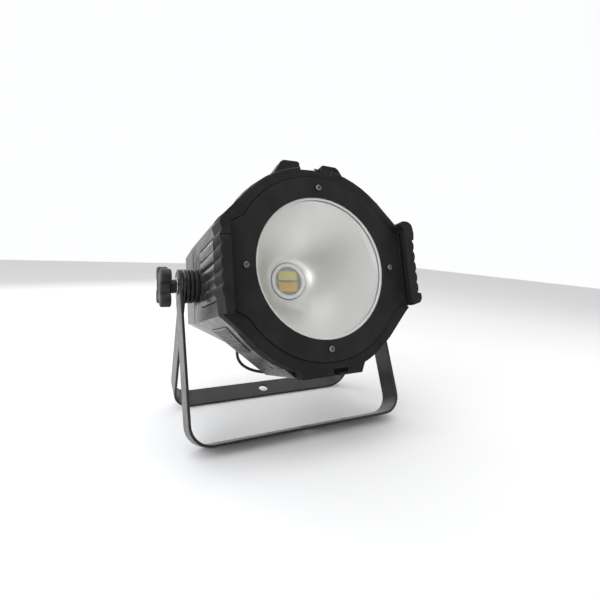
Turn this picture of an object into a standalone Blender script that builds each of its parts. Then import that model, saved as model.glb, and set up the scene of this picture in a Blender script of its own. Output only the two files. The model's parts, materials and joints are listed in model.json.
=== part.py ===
"""LED par can on a double floor yoke, at rest. Metres, +Z up, the lens faces -Y."""

import math

import bmesh
import bpy
from mathutils import Matrix, Vector

# Head: distances are measured back from the front face of the bezel (depth) and from the optical axis.
HEAD_HALF_WIDTH = 0.113
HEAD_HALF_HEIGHT = 0.1145
CHEEK_HALF_HEIGHT = 0.0468
TOP_HALF_WIDTH = 0.0365
SHELL_START = 0.0163
SHELL_SHOULDER = 0.100
COVER_SEAM = 0.1272
COVER_END = 0.174
TAIL_HALF_HEIGHT = 0.092
WALL = 0.0025
PIVOT_DEPTH = 0.106
AXIS_RISE = 0.004
TILT = math.radians(15.7)

# Front ring, bezel and optics
RING_RADIUS = 0.1132
RING_BACK_RADIUS = 0.1150
SKIRT_END = 0.0240
SKIRT_RADIUS = 0.1108
RING_FRONT = 0.0010
RING_BACK = 0.0160
RING_BORE = 0.0800
RING_LEDGE = 0.0775
REFLECTOR_SEAT = 0.0080
BEZEL_RADIUS = 0.1010
BEZEL_THICKNESS = 0.0023
BEZEL_CLEARANCE = 0.0005
TAB_HALF_HEIGHT = 0.0405
APERTURE_RADIUS = 0.0777
SCREW_CIRCLE = 0.0880
SCREW_HEAD_RADIUS = 0.0033
SCREW_HEAD_HEIGHT = 0.0023
SCREW_SHANK_RADIUS = 0.0015
SCREW_HOLE_RADIUS = 0.0019
HOLDER_INNER = 0.1050
HOLDER_OUTER_RIGHT = 0.1155
HOLDER_OUTER_LEFT = 0.1140
HOLDER_FRONT = 0.0130
HOLDER_HALF_HEIGHT = 0.0410
GROOVE_WIDTH = 0.0042
LUG_INNER = 0.0141
LUG_OUTER = 0.0455
LUG_TOP = 0.1233
NOTCH_HALF_WIDTH = 0.0200
LATCH_PIN = (0.0225, 0.1186)
LATCH_PIN_RADIUS = 0.0016
EMITTER_DEPTH = 0.0935
EMITTER_RING_RADIUS = 0.0234
EMITTER_WINDOW_RADIUS = 0.0185

# Yoke
STRAP_WIDTH = 0.030
STRAP_THICKNESS = 0.003
BEND_RADIUS = 0.025
STRAP_END = 0.0185
FRONT_ARM_FACE = 0.1356
REAR_ARM_FACE = 0.1310
FRONT_LEG = 0.1786
REAR_LEG = 0.1748
FRONT_SPREAD = math.radians(24.6)
HANG_HOLE_RADIUS = 0.0065
STUD_RADIUS = 0.0040
STUD_HOLE_RADIUS = 0.0043
DISC_RADIUS = 0.0200
KNOB_LOBE_CIRCLE = 0.0190
KNOB_LOBE_RADIUS = 0.0080

# Side flutes and small parts
FLUTES = 5
FLUTE_PITCH = 0.0124
FLUTE_HEIGHT = 0.0020
FLUTE_STEPS = 5
PANEL_END = 0.0820
PANEL_GROOVE = 0.0012
GRILLE = [(0.0150, 0.0330), (0.0320, 0.0430), (0.0570, 0.0520), (0.0590, 0.0930), (0.0150, 0.0930)]
GRILLE_OPENING = 0.92
GRILLE_SLOTS = 10
GRILLE_PITCH = 0.0048
DRAIN_RUN = 0.0848
DRAIN_DEPTH = 0.0470
DRAIN_RADIUS = 0.0024
FAN_SIDE = 0.080
FAN_RISE = 0.028
BLADES = 7
BLADE_PITCH = math.radians(38)
FINS = 11
PANEL_FACE = 0.1763
KEY_PROUD = 0.0018
CONTROLS_HALF_WIDTH = 0.0660
CONTROLS_SPAN = (-0.0680, -0.0140)
DISPLAY_X = (-0.0500, -0.0160)
DISPLAY_SPAN = (-0.0320, -0.0200)
DISPLAY_CLEARANCE = 0.0003
KEYS = [("key_menu", -0.0040), ("key_down", 0.0120), ("key_up", 0.0280), ("key_enter", 0.0440)]
KEY_ROW = -0.0260
KEY_RADIUS = 0.0033
SOCKET_ROW = -0.0500
SOCKET_RADIUS = 0.0100
FUSE_RADIUS = 0.0058
HOOP_REACH = 0.0555
HOOP_DEPTH = 0.1500
HOOP_LEVEL = -0.0865
HOOP_DROP = 0.0300
HOOP_WIRE = 0.0019
FAN_DUCT_RADIUS = 0.0382
FAN_HUB_RADIUS = 0.0145
FAN_THICKNESS = 0.0150

# Fits
GAP = 0.0003
STEP = 0.0003
FINE = 56
ROUND = 24

HALF_STRAP = STRAP_WIDTH / 2
PIVOT_HEIGHT = FRONT_LEG * math.cos(FRONT_SPREAD) + HALF_STRAP * math.sin(FRONT_SPREAD)
REAR_REACH = math.hypot(REAR_LEG, HALF_STRAP)
REAR_SPREAD = math.atan2(HALF_STRAP, REAR_LEG) + math.acos(PIVOT_HEIGHT / REAR_REACH)
PIVOT_Y = 0.0206

HEAD = Matrix.Translation((0, PIVOT_Y, PIVOT_HEIGHT)) @ Matrix.Rotation(-TILT, 4, "X")
ALONG_DEPTH = Matrix.Rotation(-math.pi / 2, 4, "X")
ALONG_X = Matrix.Rotation(math.pi / 2, 4, "Y")


def clear_scene():
    for item in list(bpy.data.objects):
        bpy.data.objects.remove(item)


def paint(name, colour, roughness, metallic=0.0, coat=0.0):
    """One Principled material per piece."""
    material = bpy.data.materials.new(name + "_finish")
    material.use_nodes = True
    shader = material.node_tree.nodes["Principled BSDF"]
    shader.inputs["Base Color"].default_value = (*colour, 1)
    shader.inputs["Roughness"].default_value = roughness
    shader.inputs["Metallic"].default_value = metallic
    shader.inputs["Coat Weight"].default_value = coat
    return material


BLACK = ((0.020, 0.020, 0.022), 0.55)
SATIN = ((0.028, 0.028, 0.030), 0.38)
STEEL = ((0.55, 0.55, 0.56), 0.30, 1.0)
SILVER = ((0.80, 0.80, 0.79), 0.25, 1.0)
BOARD = ((0.02, 0.12, 0.05), 0.4)


def place(name, bm, matrix, finish):
    """Turns a bmesh into a named object whose origin is the matrix's origin."""
    bmesh.ops.recalc_face_normals(bm, faces=bm.faces)
    mesh = bpy.data.meshes.new(name)
    bm.to_mesh(mesh)
    bm.free()
    item = bpy.data.objects.new(name, mesh)
    bpy.context.scene.collection.objects.link(item)
    item.matrix_world = matrix
    item.data.materials.append(paint(name, *finish))
    return item


def cutter(bm, matrix, name="cutter"):
    """A hidden helper for Boolean modifiers."""
    item = place(name, bm, matrix, BLACK)
    item.hide_render = True
    item.display_type = "WIRE"
    return item


def combine(item, other, operation):
    modifier = item.modifiers.new(operation.lower(), "BOOLEAN")
    modifier.operation = operation
    modifier.solver = "EXACT"
    modifier.object = other


def slab(outline, start, end, bm=None):
    """Outline in X and height above the optical axis, extruded from one depth to another."""
    bm = bm or bmesh.new()
    front = [bm.verts.new((x, start - PIVOT_DEPTH, u + AXIS_RISE)) for x, u in outline]
    face = bm.faces.new(front)
    moved = bmesh.ops.extrude_face_region(bm, geom=[face])
    verts = [v for v in moved["geom"] if isinstance(v, bmesh.types.BMVert)]
    bmesh.ops.translate(bm, verts=verts, vec=(0, end - start, 0))
    return bm


def block(x, u, depth, bm=None):
    """Box from (low, high) pairs in X, height and depth."""
    outline = [(x[0], u[0]), (x[1], u[0]), (x[1], u[1]), (x[0], u[1])]
    return slab(outline, depth[0], depth[1], bm)


def side_slab(outline, left, right, bm=None):
    """Outline in depth and height, extruded from one X to another."""
    bm = bm or bmesh.new()
    near = [bm.verts.new((left, d - PIVOT_DEPTH, u + AXIS_RISE)) for d, u in outline]
    face = bm.faces.new(near)
    moved = bmesh.ops.extrude_face_region(bm, geom=[face])
    verts = [v for v in moved["geom"] if isinstance(v, bmesh.types.BMVert)]
    bmesh.ops.translate(bm, verts=verts, vec=(right - left, 0, 0))
    return bm


def lathe(profile, steps, bm=None, matrix=Matrix()):
    """Closed profile of (radius, height) pairs spun about Z, then moved by the matrix."""
    bm = bm or bmesh.new()
    verts = [bm.verts.new((radius, 0, height)) for radius, height in profile]
    edges = []
    for near, far in zip(verts, verts[1:] + verts[:1]):
        if near.co.x > 1e-6 or far.co.x > 1e-6:
            edges.append(bm.edges.new((near, far)))
    spun = bmesh.ops.spin(
        bm, geom=verts + edges, cent=(0, 0, 0), axis=(0, 0, 1), angle=math.tau, steps=steps, use_merge=True
    )
    bmesh.ops.remove_doubles(bm, verts=bm.verts, dist=1e-7)
    bmesh.ops.transform(bm, matrix=matrix, verts=bm.verts)
    return bm


def head_lathe(profile, steps, x=0.0, u=0.0):
    """Profile of (radius, depth) pairs spun about an axis that runs back through the head."""
    shifted = [(radius, depth - PIVOT_DEPTH) for radius, depth in profile]
    return lathe(shifted, steps, matrix=Matrix.Translation((x, 0, u + AXIS_RISE)) @ ALONG_DEPTH)


def bar(radius, start, end):
    """Profile of a plain cylinder."""
    return [(0, start), (radius, start), (radius, end), (0, end)]


def rod(radius, start, end, steps=ROUND, x=0.0, u=0.0):
    return head_lathe(bar(radius, start, end), steps, x, u)


def washer(inner, outer, start, end):
    return [(inner, start), (outer, start), (outer, end), (inner, end)]


def arc(centre, radius, start, end, steps):
    """Points on a circle between two angles in degrees."""
    points = []
    for i in range(steps + 1):
        angle = math.radians(start + (end - start) * i / steps)
        points.append((centre[0] + radius * math.cos(angle), centre[1] + radius * math.sin(angle)))
    return points


def mirrored(outline, side):
    """The outline on the given side of the head: 1 keeps it, -1 mirrors it left to right."""
    if side > 0:
        return list(outline)
    return [(-x, u) for x, u in reversed(outline)]


def flutes(base, top):
    """Outer edge of the fluted cheek, from the lowest flute to the top one, as (X, height) pairs."""
    points = []
    for i in range(FLUTES):
        for k in range(FLUTE_STEPS + 1):
            share = k / FLUTE_STEPS
            bulge = math.sin(math.pi * share) ** 0.6 if 0 < share < 1 else 0.0
            if k == 0 and i > 0:
                continue
            points.append((base + FLUTE_HEIGHT * bulge, top - FLUTE_PITCH * (FLUTES - i - share)))
    return points


def cross_section(half_width, cheek, top_width, half_height):
    return [
        (half_width, -cheek),
        (half_width, cheek),
        (top_width, half_height),
        (-top_width, half_height),
        (-half_width, cheek),
        (-half_width, -cheek),
        (-top_width, -half_height),
        (top_width, -half_height),
    ]


def inset_section(margin):
    """Corners (half width, cheek, top width, half height) of the housing's section, moved inwards."""
    lean = math.atan2(HEAD_HALF_WIDTH - TOP_HALF_WIDTH, HEAD_HALF_HEIGHT - CHEEK_HALF_HEIGHT)
    cheek = CHEEK_HALF_HEIGHT - margin * math.tan(lean / 2)
    top_width = TOP_HALF_WIDTH - margin * math.tan(math.pi / 4 - lean / 2)
    return HEAD_HALF_WIDTH - margin, cheek, top_width, HEAD_HALF_HEIGHT - margin


def skin(sections, closed_end):
    """Open loft through (depth, outline) sections, for a Solidify modifier."""
    bm = bmesh.new()
    rings = []
    for depth, outline in sections:
        rings.append([bm.verts.new((x, depth - PIVOT_DEPTH, u + AXIS_RISE)) for x, u in outline])
    for near, far in zip(rings, rings[1:]):
        count = len(near)
        for i in range(count):
            j = (i + 1) % count
            bm.faces.new((near[i], near[j], far[j], far[i]))
    if closed_end:
        bm.faces.new(rings[-1])
    return bm


def thicken(item, thickness):
    modifier = item.modifiers.new("wall", "SOLIDIFY")
    modifier.thickness = thickness
    modifier.offset = -1
    modifier.use_even_offset = True


def facet_frame(side, up, along, depth, lift=0.0):
    """Frame on a slanting facet: X runs from the cheek to the top or bottom, Y back, Z outwards."""
    start = Vector((side * HEAD_HALF_WIDTH, 0, up * CHEEK_HALF_HEIGHT))
    end = Vector((side * TOP_HALF_WIDTH, 0, up * HEAD_HALF_HEIGHT))
    run = (end - start).normalized()
    out = Vector((side * abs(run.z), 0, up * abs(run.x)))
    origin = start + run * along + out * lift
    origin += Vector((0, depth - PIVOT_DEPTH, AXIS_RISE))
    back = Vector((0, 1, 0))
    if run.cross(back).dot(out) < 0:
        basis = Matrix((run, back, -out)).transposed().to_4x4()
        basis = basis @ Matrix.Scale(-1, 4, (0, 0, 1))
    else:
        basis = Matrix((run, back, out)).transposed().to_4x4()
    return Matrix.Translation(origin) @ basis


def box_at(matrix, x, y, z, bm=None):
    """Box from (low, high) pairs in the frame of the matrix."""
    bm = bm or bmesh.new()
    made = bmesh.ops.create_cube(bm, size=1.0)["verts"]
    size = Matrix.Diagonal((x[1] - x[0], y[1] - y[0], z[1] - z[0], 1))
    centre = Matrix.Translation(((x[0] + x[1]) / 2, (y[0] + y[1]) / 2, (z[0] + z[1]) / 2))
    bmesh.ops.transform(bm, matrix=matrix @ centre @ size, verts=made)
    return bm


def holder_outline(side):
    """Accessory holder seen from the front. The right one ends in a lip and a rounded catch."""
    outer = HOLDER_OUTER_RIGHT if side > 0 else HOLDER_OUTER_LEFT
    edge = flutes(outer, FLUTE_PITCH * FLUTES / 2)
    rim = HOLDER_HALF_HEIGHT
    if side > 0:
        outline = [
            (HOLDER_INNER, -rim),
            (HOLDER_INNER + 0.0025, -rim - 0.0045),
            (outer + 0.0030, -rim - 0.0015),
            (outer + 0.0055, -rim + 0.0030),
            (outer + 0.0055, edge[0][1] - 0.0010),
        ]
        outline += edge
        outline += [(outer + 0.0030, edge[-1][1] + 0.0015), (outer + 0.0040, rim - 0.0010)]
        outline += arc((outer - 0.0060, rim + 0.0040), 0.0095, 20, 90, 5)
        outline += arc((HOLDER_INNER + 0.0005, rim + 0.0090), 0.0045, 90, 235, 5)
        outline += [(HOLDER_INNER, rim + 0.0030)]
    else:
        outline = [(HOLDER_INNER, -CHEEK_HALF_HEIGHT), (HEAD_HALF_WIDTH, -CHEEK_HALF_HEIGHT)]
        outline += [(outer, edge[0][1] - 0.0060)]
        outline += edge
        outline += [(outer + 0.0020, rim - 0.0010), (outer - 0.0010, rim + 0.0035)]
        outline += [(HOLDER_INNER, rim + 0.0035)]
    return mirrored(outline, side)


def fairing(side, up):
    """Corner that carries the round rim out to the edge of the cheek."""
    tangent = RING_RADIUS * math.cos(math.pi / 4)
    points = [
        (HEAD_HALF_WIDTH, CHEEK_HALF_HEIGHT),
        (HEAD_HALF_WIDTH - 0.0058, CHEEK_HALF_HEIGHT + 0.0052),
        (tangent - 0.0003, tangent - 0.0003),
        (tangent - 0.0055, tangent - 0.0055),
        (HEAD_HALF_WIDTH - 0.0090, CHEEK_HALF_HEIGHT - 0.0068),
    ]
    return [(side * x, up * u) for x, u in points]


def make_front_ring():
    """Cast ring with two channel holders, a bottom block and the two latch lugs."""
    edge = 0.0015
    profile = [
        (RING_BORE, RING_FRONT),
        (RING_RADIUS - edge, RING_FRONT),
        (RING_RADIUS, RING_FRONT + edge),
        (RING_BACK_RADIUS, RING_BACK),
        (SKIRT_RADIUS, SKIRT_END),
        (SKIRT_RADIUS - 0.0060, SKIRT_END),
        (SKIRT_RADIUS - 0.0060, RING_BACK - STEP),
        (RING_LEDGE, RING_BACK - STEP),
        (RING_LEDGE, REFLECTOR_SEAT + GAP),
        (RING_BORE, REFLECTOR_SEAT + GAP),
    ]
    ring = place("front_ring", head_lathe(profile, FINE), HEAD, BLACK)
    bottom = [
        (-TOP_HALF_WIDTH + 0.0015, -HEAD_HALF_HEIGHT - 0.0012),
        (TOP_HALF_WIDTH + 0.0005, -HEAD_HALF_HEIGHT - 0.0005),
        (TOP_HALF_WIDTH + 0.0060, -RING_RADIUS + 0.0100),
        (0.0, -RING_RADIUS + 0.0200),
        (-TOP_HALF_WIDTH - 0.0030, -RING_RADIUS + 0.0090),
    ]
    combine(ring, cutter(slab(bottom, RING_FRONT + STEP, RING_BACK - 2 * STEP), HEAD), "UNION")
    for side in (1, -1):
        for up in (1, -1):
            corner = slab(fairing(side, up), RING_FRONT + 2 * STEP, RING_BACK - 3 * STEP)
            combine(ring, cutter(corner, HEAD), "UNION")
        holder = slab(holder_outline(side), -HOLDER_FRONT, RING_BACK - STEP / 2)
        combine(ring, cutter(holder, HEAD), "UNION")
    reach = LUG_INNER + 0.0180
    bridge = block((-reach, reach), (0.100, HEAD_HALF_HEIGHT - 0.0012), (0.0120, RING_BACK - 1.5 * STEP))
    combine(ring, cutter(bridge, HEAD), "UNION")
    lug = [
        (LUG_INNER, 0.104),
        (LUG_OUTER, 0.104),
        (LUG_OUTER, 0.107),
        (LUG_OUTER - 0.0085, LUG_TOP - 0.0028),
        (LUG_OUTER - 0.0120, LUG_TOP - 0.0005),
        (LUG_INNER + 0.0024, LUG_TOP),
        (LUG_INNER, LUG_TOP - 0.0018),
    ]
    for side in (1, -1):
        combine(ring, cutter(slab(mirrored(lug, side), 0.0128, 0.0345), HEAD), "UNION")
    over = LUG_TOP + 0.0012
    slope = side_slab([(0.0170, over), (0.0360, 0.1140), (0.0360, over)], -0.060, 0.060)
    combine(ring, cutter(slope, HEAD), "DIFFERENCE")
    shell_space = slab(cross_section(*inset_section(-GAP)), RING_BACK, 0.060)
    combine(ring, cutter(shell_space, HEAD), "DIFFERENCE")
    tall = (-CHEEK_HALF_HEIGHT, CHEEK_HALF_HEIGHT)
    cheek_space = block((-0.130, 0.130), tall, (RING_BACK - STEP / 3, 0.060))
    combine(ring, cutter(cheek_space, HEAD), "DIFFERENCE")
    notch = block((-NOTCH_HALF_WIDTH, NOTCH_HALF_WIDTH), (0.1062, 0.125), (-0.002, 0.0118))
    combine(ring, cutter(notch, HEAD), "DIFFERENCE")
    recess = slab(bezel_outline(BEZEL_CLEARANCE), -0.0005, BEZEL_THICKNESS + GAP)
    combine(ring, cutter(recess, HEAD), "DIFFERENCE")
    for side in (1, -1):
        low, high = sorted((side * (HOLDER_INNER - 0.008), side * (HOLDER_INNER + 0.0070)))
        tall = (-0.060, HOLDER_HALF_HEIGHT + 0.0002)
        groove = block((low, high), tall, (-0.0008 - GROOVE_WIDTH, -0.0008))
        combine(ring, cutter(groove, HEAD), "DIFFERENCE")
    slot = block((0.0015, 0.0195), (-0.1128, -0.1080), (0.0, 0.0075))
    combine(ring, cutter(slot, HEAD), "DIFFERENCE")
    slot = block((0.0020, 0.0080), (-0.1180, -0.1100), (0.0, 0.0070))
    combine(ring, cutter(slot, HEAD), "DIFFERENCE")
    left = -HOLDER_OUTER_LEFT
    wide = (left - 0.0060, -HOLDER_INNER + 0.0020)
    line = block(wide, (0.0262, 0.0268), (-0.0200, -HOLDER_FRONT + 0.0012))
    combine(ring, cutter(line, HEAD), "DIFFERENCE")
    for x, u in screw_places():
        hole = rod(SCREW_HOLE_RADIUS, 0, 0.012, 12, x, u)
        combine(ring, cutter(hole, HEAD), "DIFFERENCE")
    for side in (1, -1):
        hole = lathe(bar(LATCH_PIN_RADIUS + GAP, -0.020, 0.020), 12, matrix=ALONG_X)
        spot = Matrix.Translation((side * 0.026, LATCH_PIN[0] - PIVOT_DEPTH, LATCH_PIN[1] + AXIS_RISE))
        combine(ring, cutter(hole, HEAD @ spot), "DIFFERENCE")


def screw_places():
    return [(0, SCREW_CIRCLE), (SCREW_CIRCLE, 0), (0, -SCREW_CIRCLE), (-SCREW_CIRCLE, 0)]


def bezel_outline(grow):
    """Round plate with a tab at each side that reaches under the holders."""
    radius = BEZEL_RADIUS + grow
    reach = HOLDER_INNER - 2 * BEZEL_CLEARANCE + grow
    tab = TAB_HALF_HEIGHT + grow
    shoulder = (reach - 0.0055, tab + 0.0042)
    start = math.degrees(math.asin((tab + 0.0105) / radius))
    top = arc((0, 0), radius, start, 180 - start, FINE // 3)
    right = [(reach, tab), shoulder]
    left = [(-shoulder[0], shoulder[1]), (-reach, tab)]
    upper = right + top + left
    return upper + [(-x, -u) for x, u in upper]


def make_bezel():
    """Flat cover plate with its aperture and four screws."""
    plate = place("bezel_plate", slab(bezel_outline(0), 0, BEZEL_THICKNESS), HEAD, BLACK)
    combine(plate, cutter(rod(APERTURE_RADIUS, -0.002, 0.006, FINE), HEAD), "DIFFERENCE")
    for x, u in screw_places():
        hole = rod(SCREW_HOLE_RADIUS, -0.002, 0.006, 12, x, u)
        combine(plate, cutter(hole, HEAD), "DIFFERENCE")
    names = ("bezel_screw_top", "bezel_screw_right", "bezel_screw_bottom", "bezel_screw_left")
    for name, (x, u) in zip(names, screw_places()):
        profile = [(0, -SCREW_HEAD_HEIGHT), (SCREW_HEAD_RADIUS - 0.0011, -SCREW_HEAD_HEIGHT)]
        profile += [(SCREW_HEAD_RADIUS, -SCREW_HEAD_HEIGHT + 0.0010), (SCREW_HEAD_RADIUS, -GAP)]
        profile += [(SCREW_SHANK_RADIUS, -GAP), (SCREW_SHANK_RADIUS, 0.0100), (0, 0.0100)]
        screw = place(name, head_lathe(profile, 14, x, u), HEAD, ((0.30, 0.29, 0.27), 0.35, 1.0))
        socket = rod(0.0015, -0.004, -0.0009, 6, x, u)
        combine(screw, cutter(socket, HEAD), "DIFFERENCE")


def make_optics():
    """Gasket, glass, reflector bowl, emitter and its white retaining ring."""
    gasket = head_lathe(washer(0.0754, 0.0796, 0.0026, 0.0034), FINE)
    place("lens_gasket", gasket, HEAD, ((0.85, 0.85, 0.84), 0.5))
    place("front_glass", rod(0.0794, 0.0037, 0.0067, FINE), HEAD, ((0.9, 0.93, 0.93), 0.03))
    mouth, throat = 0.0756, EMITTER_RING_RADIUS + 0.0010
    near, far = REFLECTOR_SEAT - 0.0005, EMITTER_DEPTH + 0.0015
    inner, outer = [], []
    rings = 7
    for i in range(rings + 1):
        share = i / rings
        depth = near + (far - near) * share
        radius = throat + (mouth - throat) * (1 - share) ** 0.62
        inner.append((radius, depth))
        outer.append((radius + 0.0010, depth + 0.0004))
    lip = RING_BORE - 0.0006
    flange = [(lip, REFLECTOR_SEAT), (lip, REFLECTOR_SEAT - 0.0010), (mouth, REFLECTOR_SEAT - 0.0010)]
    place("reflector", head_lathe(inner + outer[::-1] + flange, 40), HEAD, SILVER)
    holder = washer(EMITTER_WINDOW_RADIUS, EMITTER_RING_RADIUS, EMITTER_DEPTH, EMITTER_DEPTH + 0.0040)
    place("emitter_ring", head_lathe(holder, 36), HEAD, ((0.82, 0.82, 0.79), 0.45))
    board = block((-0.022, 0.022), (-0.022, 0.022), (EMITTER_DEPTH + 0.0043, EMITTER_DEPTH + 0.0053))
    place("emitter_board", board, HEAD, ((0.75, 0.75, 0.74), 0.3, 1.0))
    low, high = 0.0014, 0.0134
    span = (EMITTER_DEPTH + 0.0031, EMITTER_DEPTH + 0.0040)
    half = 0.0132
    corner = 0.0030
    cool = [(-half, low), (half, low)] + arc((half - corner, high - corner), corner, 0, 90, 4)
    cool += arc((-half + corner, high - corner), corner, 90, 180, 4)
    place("emitter_cool", slab(cool, *span), HEAD, ((0.80, 0.78, 0.35), 0.35))
    warm = [(x, -u) for x, u in reversed(cool)]
    place("emitter_warm", slab(warm, *span), HEAD, ((0.80, 0.55, 0.18), 0.35))
    base = EMITTER_DEPTH + 0.0056
    root, tip = base + 0.006, 0.146
    comb = [(-0.060, base), (0.060, base)]
    pitch, thick = 0.0115, 0.0022
    for i in range(FINS):
        x = 0.0575 - pitch * i + 0.0014
        comb += [(x, root), (x, tip), (x - thick, tip), (x - thick, root)]
    outline = [(-x, d) for x, d in comb]
    bm = bmesh.new()
    low_verts = [bm.verts.new((x, d - PIVOT_DEPTH, -0.060 + AXIS_RISE)) for x, d in outline]
    face = bm.faces.new(low_verts)
    moved = bmesh.ops.extrude_face_region(bm, geom=[face])
    verts = [v for v in moved["geom"] if isinstance(v, bmesh.types.BMVert)]
    bmesh.ops.translate(bm, verts=verts, vec=(0, 0, 0.120))
    place("heat_sink", bm, HEAD, ((0.60, 0.60, 0.61), 0.4, 1.0))


def make_shell():
    """Eight-sided housing with cheek vents, hollow inside."""
    full = cross_section(HEAD_HALF_WIDTH, CHEEK_HALF_HEIGHT, TOP_HALF_WIDTH, HEAD_HALF_HEIGHT)
    waist = cross_section(HEAD_HALF_WIDTH, CHEEK_HALF_HEIGHT, TOP_HALF_WIDTH - 0.0025, TAIL_HALF_HEIGHT)
    sections = [(SHELL_START, full), (SHELL_SHOULDER, full), (COVER_SEAM, waist)]
    shell = place("housing_shell", skin(sections, False), HEAD, SATIN)
    thicken(shell, WALL)
    for side in (1, -1):
        hole = lathe(bar(STUD_HOLE_RADIUS, -0.012, 0.012), ROUND, matrix=ALONG_X)
        cheek = Matrix.Translation((side * HEAD_HALF_WIDTH, 0, 0))
        combine(shell, cutter(hole, HEAD @ cheek), "DIFFERENCE")
        low, high = sorted((side * (HEAD_HALF_WIDTH - 0.006), side * (HEAD_HALF_WIDTH + 0.002)))
        for depth, bottom, top in vent_slots():
            slot = block((low, high), (bottom, top), (depth - 0.0012, depth + 0.0012))
            combine(shell, cutter(slot, HEAD), "DIFFERENCE")
        tall = FLUTE_PITCH * FLUTES / 2 + PANEL_GROOVE
        low, high = sorted((side * (HEAD_HALF_WIDTH - 0.006), side * (HEAD_HALF_WIDTH + 0.002)))
        opening = block((low, high), (-tall, tall), (0.010, PANEL_END + PANEL_GROOVE))
        combine(shell, cutter(opening, HEAD), "DIFFERENCE")
    for side in (1, -1):
        for up in (1, -1):
            opening = facet_slab(facet_frame(side, up, 0, 0), shrink(GRILLE, GRILLE_OPENING), -0.006, 0.004)
            combine(shell, cutter(opening, HEAD), "DIFFERENCE")
    for side in (1, -1):
        corner = facet_frame(side, -1, DRAIN_RUN, 0)
        spot = corner @ Matrix.Translation((0, DRAIN_DEPTH, 0))
        hole = lathe(bar(DRAIN_RADIUS, -0.006, 0.004), 16, matrix=spot)
        combine(shell, cutter(hole, HEAD), "DIFFERENCE")
        for i in range(3):
            depth = DRAIN_DEPTH - 0.0160 - i * 0.0046
            slot = box_at(corner, (-0.0018, 0.0018), (depth - 0.0009, depth + 0.0009), (-0.006, 0.004))
            combine(shell, cutter(slot, HEAD), "DIFFERENCE")


def vent_slots():
    """(depth, bottom, top) of each upright vent in a cheek, clear of the pivot boss."""
    return [
        (0.0905, -0.0250, 0.0280),
        (0.0980, 0.0090, 0.0280),
        (0.1055, 0.0090, 0.0280),
        (0.1130, 0.0090, 0.0280),
        (0.1205, -0.0250, 0.0280),
        (0.0980, -0.0260, -0.0170),
        (0.1055, -0.0260, -0.0170),
        (0.1130, -0.0260, -0.0170),
    ]


def make_side_panels():
    """Fluted panel let into each cheek, held by a flange behind the wall."""
    top = FLUTE_PITCH * FLUTES / 2
    inside = HEAD_HALF_WIDTH - WALL - GAP
    for side, name in ((1, "side_panel_right"), (-1, "side_panel_left")):
        edge = flutes(HEAD_HALF_WIDTH - 0.0005, top)
        flange = top + PANEL_GROOVE + 0.0025
        outline = [(inside - 0.0012, -flange), (inside, -flange), (inside, -top)] + edge
        outline += [(inside, top), (inside, flange), (inside - 0.0012, flange)]
        place(name, slab(mirrored(outline, side), SHELL_START, PANEL_END), HEAD, SATIN)


def facet_slab(frame, outline, low, high):
    """Outline of (distance along the facet, depth) points, raised between two heights above it."""
    bm = bmesh.new()
    verts = [bm.verts.new((along, depth, low)) for along, depth in outline]
    face = bm.faces.new(verts)
    moved = bmesh.ops.extrude_face_region(bm, geom=[face])
    raised = [v for v in moved["geom"] if isinstance(v, bmesh.types.BMVert)]
    bmesh.ops.translate(bm, verts=raised, vec=(0, 0, high - low))
    bmesh.ops.transform(bm, matrix=frame, verts=bm.verts)
    return bm


def shrink(outline, share):
    """The outline, drawn in towards its middle."""
    middle = [sum(point[i] for point in outline) / len(outline) for i in (0, 1)]
    return [tuple(middle[i] + (point[i] - middle[i]) * share for i in (0, 1)) for point in outline]


def make_grilles():
    """Vent grille on each slanting facet: a plate with slots that run around the housing."""
    front = [point for point in GRILLE if point[1] < 0.060]
    for side, word in ((1, "right"), (-1, "left")):
        for up, level in ((1, "upper"), (-1, "lower")):
            window = facet_frame(side, up, 0, 0)
            plate = facet_slab(window, GRILLE, GAP, 0.0012)
            panel = place("grille_" + level + "_" + word, plate, HEAD, SATIN)
            slots = bmesh.new()
            for i in range(GRILLE_SLOTS):
                depth = GRILLE[-1][1] - 0.0070 - i * GRILLE_PITCH
                end = front[-1][0] - 0.0045
                for near, far in zip(front, front[1:]):
                    if near[1] <= depth < far[1]:
                        end = near[0] + (far[0] - near[0]) * (depth - near[1]) / (far[1] - near[1]) - 0.0065
                run = (GRILLE[0][0] + 0.0045, end)
                box_at(window, run, (depth, depth + 0.0024), (-0.002, 0.004), slots)
            combine(panel, cutter(slots, HEAD), "DIFFERENCE")


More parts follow.
